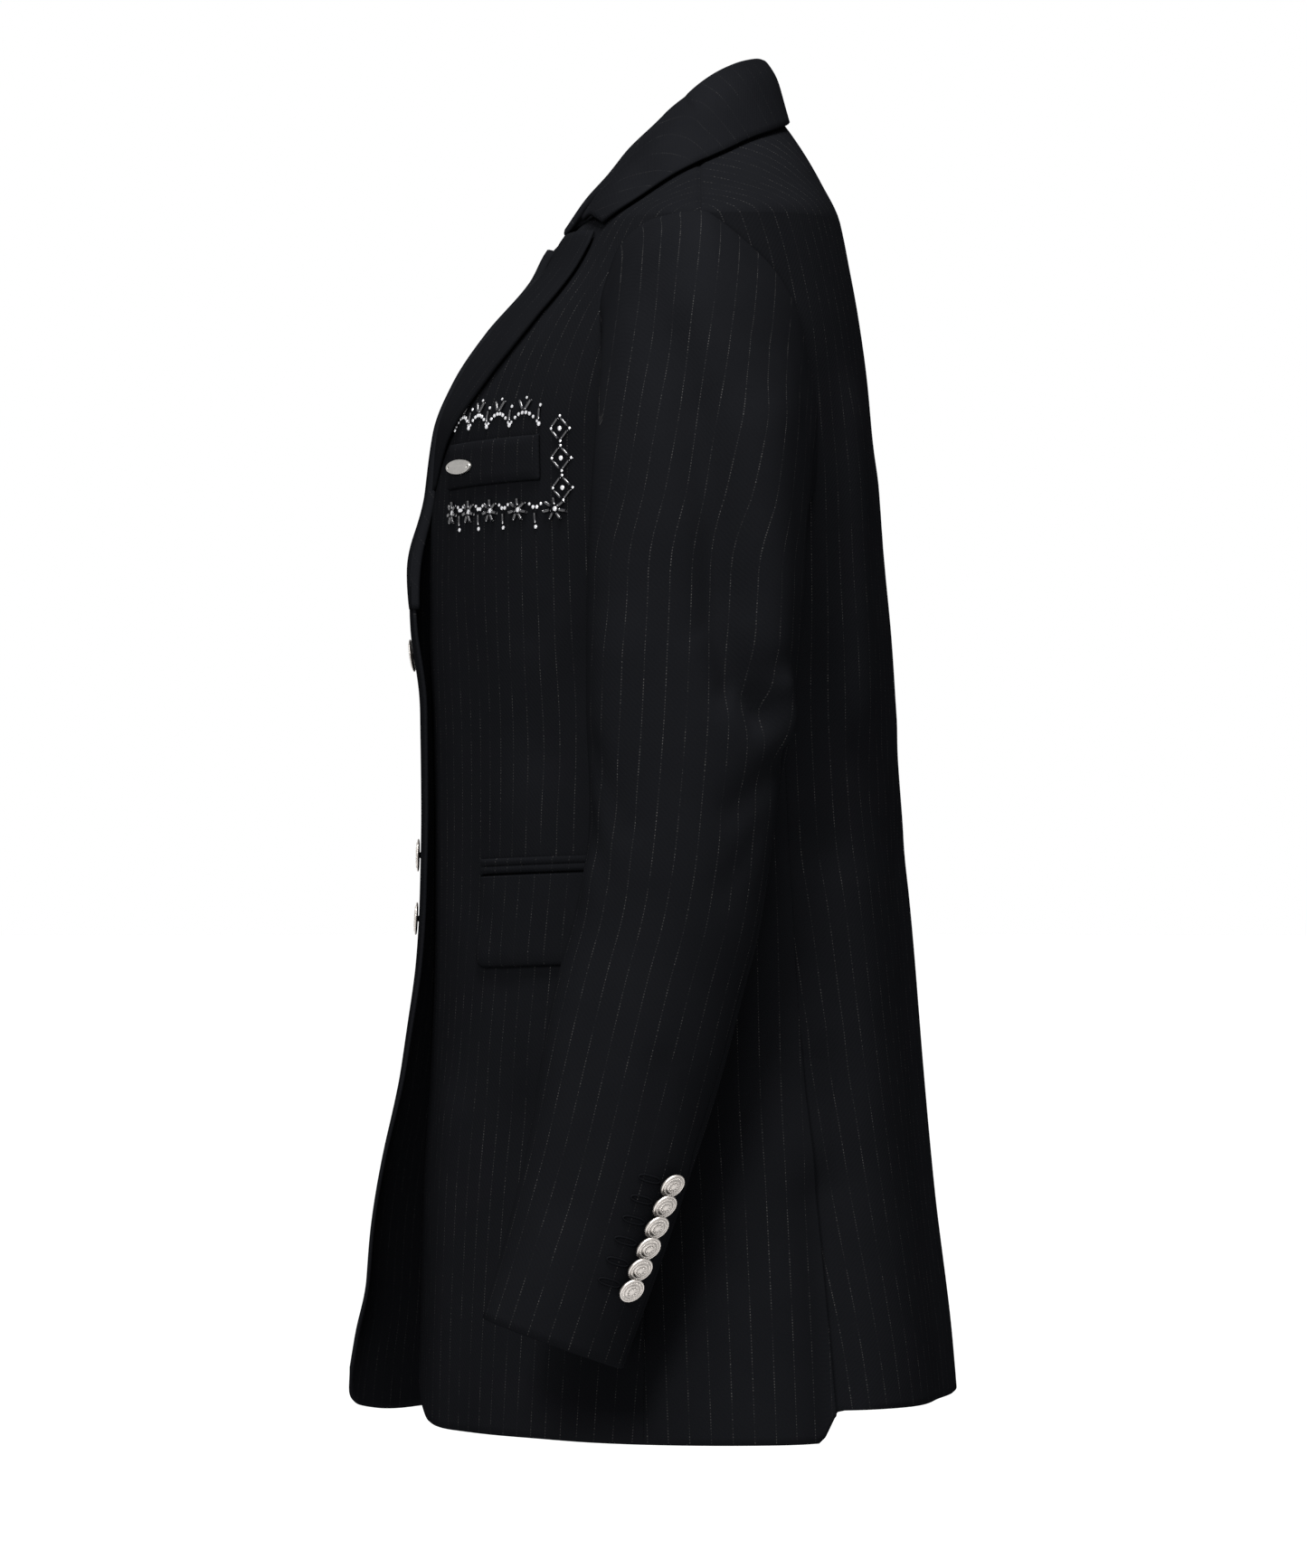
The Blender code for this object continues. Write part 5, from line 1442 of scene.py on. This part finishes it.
def metal(name, colour, roughness, dark):
    """Aged silver: brighter on its raised parts and darker in its hollows."""
    nodes = Nodes(name)
    nodes.set(Metallic=1.0)
    objects = nodes.add("ShaderNodeTexCoord", {}, {}, output=3)
    worn = nodes.add("ShaderNodeTexNoise", {}, {"Vector": objects, "Scale": WORN_SCALE, "Detail": 5.0})
    hollow = nodes.add("ShaderNodeNewGeometry", {}, {}, output=7)
    factor = (hollow - HOLLOW_FROM) * HOLLOW_GAIN + (worn - 0.5) * WORN_GAIN + WORN_TONE
    factor = factor.math("MINIMUM", 1.0).math("MAXIMUM", 0.0)
    nodes.feed("Base Color", nodes.mix(factor, (*dark, 1), (*colour, 1)))
    nodes.feed("Roughness", worn * WORN_ROUGH + (roughness - WORN_SMOOTHER))
    return nodes.material


def plain(name, colour, roughness, metallic=0.0, **sockets):
    """A plain Principled material, with other sockets of its shader where they are named."""
    nodes = Nodes(name)
    nodes.set(Base_Color=(*colour, 1), Roughness=roughness, Metallic=metallic, **sockets)
    return nodes.material


# Small pieces
def placed(mesh_parts, name, material):
    """One piece from lists of points and faces, joined."""
    points = []
    faces = []
    for part_points, part_faces in mesh_parts:
        base = len(points)
        points += [tuple(p) for p in part_points]
        faces += [tuple(base + i for i in face) for face in part_faces]
    return mesh_object(name, points, faces, None, material)


def frame_at(point, normal, up):
    """A placing matrix with its Z along a normal and its Y near up."""
    z_axis = Vector(normal).normalized()
    x_axis = Vector(up).cross(z_axis).normalized()
    matrix = Matrix((x_axis, z_axis.cross(x_axis), z_axis)).transposed().to_4x4()
    matrix.translation = Vector(point)
    return matrix


def circle(count):
    """Angles of a number of places round a full turn."""
    return [2 * math.pi * k / count for k in range(count)]


def turned(profile, steps, matrix):
    """Points and faces of a turned shape from a profile of radius and height, bottom to top."""
    points = []
    faces = []
    rings = []
    for r, h in profile:
        if r == 0:
            rings.append([len(points)])
            points.append(matrix @ Vector((0, 0, h)))
            continue
        rings.append(range(len(points), len(points) + steps))
        points += [matrix @ Vector((r * math.cos(turn), r * math.sin(turn), h)) for turn in circle(steps)]
    for low, high in zip(rings[:-1], rings[1:]):
        for k in range(steps):
            m = (k + 1) % steps
            if len(low) == 1:
                faces.append((low[0], high[m], high[k]))
            elif len(high) == 1:
                faces.append((low[k], low[m], high[0]))
            else:
                faces.append((low[k], low[m], high[m], high[k]))
    return points, faces


# Button profile as shares of its radius and height, bottom to top: rim, two rings, a raised middle
BUTTON_PROFILE = (
    (0.0, 0.02), (0.76, 0.02), (0.93, 0.12), (0.985, 0.3), (1.0, 0.44), (0.975, 0.58), (0.93, 0.66),
    (0.885, 0.66), (0.86, 0.6), (0.83, 0.6), (0.8, 0.68), (0.7, 0.72), (0.66, 0.66), (0.6, 0.66),
    (0.56, 0.76), (0.5, 0.82), (0.44, 0.82), (0.4, 0.77), (0.34, 0.78), (0.26, 0.88), (0.16, 0.95),
    (0.0, 0.98),
)
BUTTON_STEPS = 40
BEAD_PROFILE = ((1.0, 0.0), (0.92, 0.45), (0.6, 0.82), (0.0, 1.0))
# Rings of beads on a button: all but count and steps are shares of its radius, and height one of its own height
BEAD_RINGS = (
    # count, ring, height, bead_radius, bead_tall, steps
    (34, 0.745, 0.69, 0.052, 0.0572, 6),
    (20, 0.47, 0.8, 0.052, 0.0572, 6),
    (8, 0.29, 0.83, 0.085, 0.05, 8),
)


def button_parts(size, matrix):
    """A domed button with rings and three rings of small beads."""
    radius = size["radius"]
    tall = size["tall"]
    parts = [turned([(r * radius, h * tall) for r, h in BUTTON_PROFILE], BUTTON_STEPS, matrix)]
    for count, ring, height, bead_radius, bead_tall, steps in BEAD_RINGS:
        bead = [(r * radius * bead_radius, h * radius * bead_tall) for r, h in BEAD_PROFILE]
        for turn in circle(count):
            out = ring * radius
            place = Matrix.Translation((out * math.cos(turn), out * math.sin(turn), height * tall))
            parts.append(turned(bead, steps, matrix @ place))
    return parts


def cuff_frames(side):
    """Placing matrices of the six cuff buttons, top to bottom, and their places on the sleeve."""
    folds = folds_of(side)
    found = []
    for k in range(CUFF_BUTTONS):
        part = k / (CUFF_BUTTONS - 1)
        z = CUFF_FIRST["z"] + (CUFF_LAST["z"] - CUFF_FIRST["z"]) * part
        angle = CUFF_FIRST["angle"] + (CUFF_LAST["angle"] - CUFF_FIRST["angle"]) * part
        u = 1 + (z - ARM_TOP_Z) / (CUFF_Z - ARM_TOP_Z)
        point = sleeve_point(angle, u, folds, side)
        turns = np.array([angle + RING_STEP, angle - RING_STEP])
        downs = np.array([u - DOWN_STEP, u + DOWN_STEP])
        across = np.subtract(*sleeve_point(turns, u, folds, side))
        along = unit(np.subtract(*sleeve_point(angle, downs, folds, side)))
        normal = unit(np.cross(across, along))
        lean = math.radians(CUFF_TILT)
        face = normal * math.cos(lean) - along * math.sin(lean)
        seat = point + normal * (BUTTON_STANDS_OFF + CUFF_BUTTON["radius"] * math.sin(lean) * CUFF_SEAT)
        flip = flip_of(side)
        found.append((frame_at(seat * flip, face * flip, along * flip), angle, u))
    return found


def cuff_buttons(side, material):
    """Six metal buttons down the back of a cuff."""
    for k, (matrix, _, _) in enumerate(cuff_frames(side)):
        name = "cuff_button" + end_of(side) + "_" + str(k + 1)
        piece = placed(button_parts(CUFF_BUTTON, matrix), "metal_" + name, material)
        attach(piece, "root")
        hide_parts(name)


def front_buttons(material):
    """Three metal buttons that close the front."""
    for k, z in enumerate(FRONT_BUTTON_Z):
        angle = angle_at_x(FRONT_BUTTON_X, z)
        normal = body_normal(angle, z, -1)
        point = body(angle, z, -1) + normal * FRONT_BUTTON_OFF
        name = "front_button_" + str(k + 1)
        matrix = frame_at(point, normal, (0, 0, 1))
        piece = placed(button_parts(FRONT_BUTTON, matrix), "metal_" + name, material)
        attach(piece, "root")
        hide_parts(name)


PLATE_BEVEL = 0.00018
PLATE_INSET = 0.0002
PLATE_STEPS = 48
PLATE_HOLE = {"x": 0.0137, "half_wide": 0.00115, "half_tall": 0.00105, "steps": 20}
PLATE_SHARP_EDGE = 50


def plate_profile():
    """A curve along the outline of the breast plate and of its two holes."""
    curve = bpy.data.curves.new("plate_outline", "CURVE")
    curve.dimensions = "2D"
    curve.fill_mode = "BOTH"
    curve.extrude = PLATE["tall"] / 2
    curve.bevel_depth = PLATE_BEVEL
    curve.bevel_resolution = 2
    wide = PLATE["radius"] - PLATE_INSET
    tall = PLATE["radius"] * PLATE["squash"] - PLATE_INSET
    hole = PLATE_HOLE
    outline = [(0.0, wide, tall, PLATE_STEPS)]
    outline += [(x, hole["half_wide"], hole["half_tall"], hole["steps"]) for x in (-hole["x"], hole["x"])]
    for x, half_wide, half_tall, count in outline:
        spline = curve.splines.new("POLY")
        spline.points.add(count - 1)
        for place, turn in zip(spline.points, circle(count)):
            place.co = (x + half_wide * math.cos(turn), half_tall * math.sin(turn), 0, 1)
        spline.use_cyclic_u = True
    return curve


def breast_plate(material):
    """The small blank oval plate on the breast welt, with a hole at each end."""
    angle = angle_at_x(PLATE["x"], PLATE["z"])
    normal = body_normal(angle, PLATE["z"], 1)
    point = body(angle, PLATE["z"], 1)
    seat = point + normal * (LAY_ON + WELT["thick"] + BUTTON_STANDS_OFF * 0.5 + PLATE["tall"] / 2)
    curve = plate_profile()
    holder = bpy.data.objects.new("plate_outline", curve)
    bpy.context.scene.collection.objects.link(holder)
    graph = bpy.context.evaluated_depsgraph_get()
    mesh = bpy.data.meshes.new_from_object(holder.evaluated_get(graph))
    mesh.transform(frame_at(seat, normal, (0, 0, 1)))
    mesh.materials.clear()
    mesh.materials.append(material)
    mesh.shade_smooth()
    mesh.set_sharp_from_angle(angle=math.radians(PLATE_SHARP_EDGE))
    bpy.data.objects.remove(holder)
    piece = bpy.data.objects.new("metal_breast_plate", mesh)
    bpy.context.scene.collection.objects.link(piece)
    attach(piece, "root")
    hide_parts("breast_plate")


# Threads. A tube's rings are turned from this direction, which no tube here runs along
TUBE_ASIDE = (0.31, 0.22, 0.92)


def tube_parts(path, radius, sides, closed):
    """A tube round a path of points."""
    path = np.asarray(path, float)
    count = len(path)
    points = []
    faces = []
    for k in range(count):
        before = path[k - 1] if closed or k else path[k]
        after = path[(k + 1) % count] if closed or k < count - 1 else path[k]
        ahead = unit(after - before)
        aside = unit(np.cross(ahead, TUBE_ASIDE))
        up = np.cross(aside, ahead)
        points += [path[k] + (aside * math.cos(turn) + up * math.sin(turn)) * radius for turn in circle(sides)]
    for k in range(count if closed else count - 1):
        m = (k + 1) % count
        for i in range(sides):
            j = (i + 1) % sides
            faces.append((k * sides + i, k * sides + j, m * sides + j, m * sides + i))
    if not closed:
        faces.append(tuple(range(sides)))
        faces.append(tuple((count - 1) * sides + i for i in range(sides - 1, -1, -1)))
    return points, faces


# Buttonholes: the thread, and a loop's half reach and half height, with its ends squarer where power is less.
# A cuff's are in degrees and in shares of the arm, and lie in front of the button by place
THREAD_RADIUS = 0.00055
THREAD_SIDES = 6
THREAD_OFF = 0.0003
CUFF_HOLE = {"place": 17.0, "reach": 9.0, "rise": 0.004, "power": 0.7, "count": 24}
FRONT_HOLE = {"reach": 0.0125, "rise": 0.0014, "power": 0.6, "count": 26}


def hole_loop(form):
    """Places round a buttonhole: along it and across it from its middle."""
    turn = np.array(circle(form["count"]))
    reach = form["reach"] * np.sign(np.cos(turn)) * np.abs(np.cos(turn)) ** form["power"]
    return reach, form["rise"] * np.sin(turn)


def thread_piece(loops, name, material):
    """One piece of thread from closed loops of points."""
    parts = [tube_parts(loop, THREAD_RADIUS, THREAD_SIDES, True) for loop in loops]
    piece = placed(parts, name, material)
    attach(piece, "root")


def buttonholes(side, material):
    """Worked buttonholes beside the cuff buttons, as stitched loops of thread."""
    folds = folds_of(side)
    reach, rise = hole_loop(CUFF_HOLE)
    loops = []
    for _, angle, u in cuff_frames(side):
        place = (angle - CUFF_HOLE["place"] + reach, u + rise, folds, side)
        loops.append((sleeve_point(*place) + sleeve_normal(*place) * THREAD_OFF) * flip_of(side))
    thread_piece(loops, "thread_cuff_holes" + end_of(side), material)


def front_holes(material):
    """Worked buttonholes in the right front, each beside its button."""
    reach, rise = hole_loop(FRONT_HOLE)
    loops = []
    for z in FRONT_BUTTON_Z:
        height = z + rise
        angle = angle_at_x(FRONT_BUTTON_X - FRONT_HOLE["reach"] + reach, height)
        loops.append(body(angle, height, -1) + body_normal(angle, height, -1) * THREAD_OFF)
    thread_piece(loops, "thread_front_holes", material)


# Beading: stones and small tube beads round the breast pocket, in x and z on the left front
def on_front(x, z, off):
    """Point and normal on the left front, a height off it."""
    angle = angle_at_x(x, z)
    normal = body_normal(angle, z, 1)
    return body(angle, z, 1) + normal * off, normal


STONE_PROFILE = ((0.0, 0.0), (0.82, 0.02), (1.0, 0.22), (0.86, 0.5), (0.52, 0.66), (0.0, 0.66))


STONE_TALL = 1.25
STONE_STEPS = 8
STONE_OFF = 0.0002
TUBE_OFF = 0.0003
TUBE_SIDES = 7
WELT_EDGE = 0.002


def on_welt(x, z):
    """Height of the breast welt over the front at a place, or 0 beside it."""
    inside = WELT["x0"] < x < WELT["x1"] and WELT["low0"] < z < WELT["low0"] + WELT["tall"] + WELT_EDGE
    return WELT["thick"] + LAY_ON if inside else 0.0


def stone(x, z, radius):
    """A round cut stone."""
    point, normal = on_front(x, z, STONE_OFF + on_welt(x, z))
    profile = [(r * radius, h * radius * STONE_TALL) for r, h in STONE_PROFILE]
    return turned(profile, STONE_STEPS, frame_at(point, normal, (0, 0, 1)))


def bugle(x0, z0, x1, z1, radius=0.0007):
    """A straight tube bead between two places."""
    path = []
    for t in np.linspace(0, 1, 4):
        x = x0 + (x1 - x0) * t
        z = z0 + (z1 - z0) * t
        path.append(on_front(x, z, radius + TUBE_OFF + on_welt(x, z))[0])
    return tube_parts(path, radius, TUBE_SIDES, False)


def daisy(x, z):
    """A stone with a ring of dark tube beads round it."""
    near = DAISIES["inside"]
    far = DAISIES["reach"]
    dark = []
    for turn in circle(DAISIES["petals"]):
        dx = math.sin(turn)
        dz = math.cos(turn)
        dark.append(bugle(x + dx * near, z + dz * near, x + dx * far, z + dz * far, DAISIES["tube"]))
    return [stone(x, z, DAISIES["stone"])], dark


def diamond(x, z):
    """Four tube beads in a diamond with a stone in it and small ones at its corners."""
    wide = DIAMONDS["half_wide"]
    tall = DIAMONDS["half_tall"]
    start = DIAMONDS["gap"]
    corners = [(x, z + tall), (x + wide, z), (x, z - tall), (x - wide, z)]
    dark = []
    for (x0, z0), (x1, z1) in zip(corners, corners[1:] + corners[:1]):
        dx = (x1 - x0) * start
        dz = (z1 - z0) * start
        dark.append(bugle(x0 + dx, z0 + dz, x1 - dx, z1 - dz))
    return [stone(x, z, DIAMONDS["stone"])] + [stone(*corner, DIAMONDS["corner"]) for corner in corners], dark


def scallop(x0, x1, z, rise, count):
    """Stones along an arch between two places at a height, larger towards its top."""
    made = []
    for k in range(count):
        t = (k + 0.5) / count
        bow = 4 * t * (1 - t)
        made.append(stone(x0 + (x1 - x0) * t, z + rise * bow, ARCH_STONE["least"] + ARCH_STONE["more"] * bow))
    return made


# Where the beading lies: arches above the welt, diamonds beside it, daisies and drops below. Heights named up
# or down are from the row's own z, and stones are given by their radius
ARCH_STONE = {"least": 0.0008, "more": 0.0004}
ARCHES = {
    "x0": 0.054, "x1": 0.142, "z": -0.167, "rise": 0.0068, "count": 4, "stones": 8,
    "foot_stone": 0.0014, "post": (0.0028, 0.0085), "post_up": 0.0105, "post_stone": 0.001,
    "leaf_apart": 0.001, "leaf_lean": 0.0032, "leaf": (0.0085, 0.0135), "leaf_tube": 0.0008,
    "top_up": 0.015, "top_stone": 0.0009,
}
DIAMONDS = {
    "x": 0.1545, "z": -0.17, "down": 0.0165, "count": 3, "half_wide": 0.005, "half_tall": 0.007,
    "gap": 0.2, "stone": 0.0015, "corner": 0.0009,
}
DAISIES = {
    "x0": 0.06, "x1": 0.15, "z": -0.2145, "count": 5, "reach": 0.0062, "petals": 7,
    "inside": 0.0026, "tube": 0.0009, "stone": 0.0016, "swag_from": 0.0065, "swag_up": 0.0045,
    "swag_rise": -0.0035, "swag_stones": 4, "drop": (0.002, 0.0075), "drop_down": 0.0098, "drop_stone": 0.0012,
}


def arches():
    """Arches of stones with a post between each two and a pair of leaves on each."""
    form = ARCHES
    z = form["z"]
    low, high = form["post"]
    leaf_low, leaf_high = form["leaf"]
    wide = (form["x1"] - form["x0"]) / form["count"]
    bright = []
    dark = []
    for k in range(form["count"] + 1):
        x = form["x0"] + wide * k
        bright.append(stone(x, z, form["foot_stone"]))
        dark.append(bugle(x, z + low, x, z + high))
        bright.append(stone(x, z + form["post_up"], form["post_stone"]))
        if k == form["count"]:
            break
        bright += scallop(x, x + wide, z, form["rise"], form["stones"])
        middle = x + wide / 2
        for lean in (-1, 1):
            foot = middle + lean * form["leaf_apart"]
            tip = foot + lean * form["leaf_lean"]
            dark.append(bugle(foot, z + leaf_low, tip, z + leaf_high, form["leaf_tube"]))
        bright.append(stone(middle, z + form["top_up"], form["top_stone"]))
    return bright, dark


def diamonds():
    """A column of diamonds."""
    made = [diamond(DIAMONDS["x"], DIAMONDS["z"] - DIAMONDS["down"] * k) for k in range(DIAMONDS["count"])]
    return sum((bright for bright, _ in made), []), sum((dark for _, dark in made), [])


def daisies():
    """A row of daisies, with a swag and a drop between each two."""
    form = DAISIES
    z = form["z"]
    low, high = form["drop"]
    space = (form["x1"] - form["x0"]) / (form["count"] - 1)
    bright = []
    dark = []
    for k in range(form["count"]):
        x = form["x0"] + space * k
        stones, tubes = daisy(x, z)
        bright += stones
        dark += tubes
        if k == form["count"] - 1:
            break
        start = x + form["swag_from"]
        end = x + space - form["swag_from"]
        bright += scallop(start, end, z + form["swag_up"], form["swag_rise"], form["swag_stones"])
        middle = x + space / 2
        dark.append(bugle(middle, z - low, middle, z - high))
        bright.append(stone(middle, z - form["drop_down"], form["drop_stone"]))
    return bright, dark


def beading(bright_material, dark_material):
    """Stones and tube beads round the breast pocket."""
    bright = []
    dark = []
    for stones, tubes in (arches(), diamonds(), daisies()):
        bright += stones
        dark += tubes
    for name, parts, material in (
        ("beading_stones", bright, bright_material),
        ("beading_tubes", dark, dark_material),
    ):
        piece = placed(parts, name, material)
        if name == "beading_stones":
            piece.data.shade_flat()
        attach(piece, "root")


# Stage, lights and camera
CAMERA_DISTANCE = 5.0
CAMERA_AZIMUTH = 85.0
CAMERA_TARGET = (0.0, -0.021, -0.368)
METRES_PER_PIXEL = 0.00052
PHOTO_HEIGHT = 1734
SENSOR = 36.0
FLOOR_Z = -1.5
FLOOR_RADIUS = 60
LIGHTS = (
    # name, place, size, power
    ("key", (3.6, -1.7, 1.7), 1.0, 335),
    ("top", (1.3, -0.1, 2.9), 1.2, 560),
)
LIGHT_TARGET = (0, 0, -0.35)


def camera():
    """The camera at the photo's angle, looking at the wearer's left side."""
    data = bpy.data.cameras.new("camera")
    data.sensor_fit = "VERTICAL"
    data.sensor_height = SENSOR
    data.lens = CAMERA_DISTANCE * SENSOR / (PHOTO_HEIGHT * METRES_PER_PIXEL)
    cam = bpy.data.objects.new("camera", data)
    bpy.context.scene.collection.objects.link(cam)
    turn = math.radians(CAMERA_AZIMUTH)
    away = Vector((math.sin(turn), -math.cos(turn), 0))
    cam.location = Vector(CAMERA_TARGET) + away * CAMERA_DISTANCE
    cam.rotation_euler = (-away).to_track_quat("-Z", "Y").to_euler()
    bpy.context.scene.camera = cam


def area_light(name, place, size, power):
    """A soft square light that faces the jacket."""
    data = bpy.data.lights.new(name, "AREA")
    data.shape = "SQUARE"
    data.size = size
    data.energy = power
    lamp = bpy.data.objects.new(name, data)
    bpy.context.scene.collection.objects.link(lamp)
    lamp.location = place
    lamp.rotation_euler = (Vector(LIGHT_TARGET) - Vector(place)).to_track_quat("-Z", "Y").to_euler()


def stage():
    """A plain pale floor, a white surround and soft studio lights."""
    bpy.ops.object.select_all(action="DESELECT")
    bpy.ops.mesh.primitive_circle_add(
        vertices=96, radius=FLOOR_RADIUS, fill_type="NGON", location=(0, 0, FLOOR_Z))
    floor = bpy.context.object
    floor.name = "floor"
    pale = plain("floor", (0.55, 0.55, 0.55), 0.9, Emission_Color=(1, 1, 1, 1), Emission_Strength=0.5)
    floor.data.materials.append(pale)
    world = bpy.data.worlds.new("surround")
    world.use_nodes = True
    bpy.context.scene.world = world
    background = world.node_tree.nodes["Background"]
    background.inputs["Color"].default_value = (1.0, 1.0, 1.0, 1)
    background.inputs["Strength"].default_value = 1.0
    for light in LIGHTS:
        area_light(*light)


def main():
    """Builds the stage and every piece."""
    bpy.context.scene.view_settings.view_transform = "Standard"
    camera()
    stage()
    cloth = wool("wool_striped", 1)
    faint = wool("wool_faint", 0.35)
    dull = wool("wool_thread", 0)
    for side in (1, -1):
        end = end_of(side)
        front(side, cloth)
        back_half(side, cloth)
        side_panel(side, cloth)
        sleeve(side, cloth)
        lapel(side, faint)
        patch("cloth_jet" + end, "pocket_jet" + end, JETS, side, cloth, jet_relief, rows=12)
        patch("cloth_flap" + end, "pocket_flap" + end, FLAP, side, cloth, flap_relief, corner=0.009)
        buttonholes(side, dull)
    collar(faint)
    patch("cloth_welt", "breast_welt", WELT, 1, cloth, edge_relief)
    silver = metal("aged_silver", (0.3, 0.28, 0.262), 0.4, (0.03, 0.028, 0.026))
    for side in (1, -1):
        cuff_buttons(side, silver)
    front_buttons(silver)
    front_holes(dull)
    breast_plate(metal("plate_silver", (0.3, 0.29, 0.275), 0.42, (0.16, 0.155, 0.15)))
    beading(plain("cut_stone", (0.3, 0.3, 0.31), 0.16, 0.6),
            plain("dark_bead", (0.003, 0.003, 0.004), 0.3))


main()
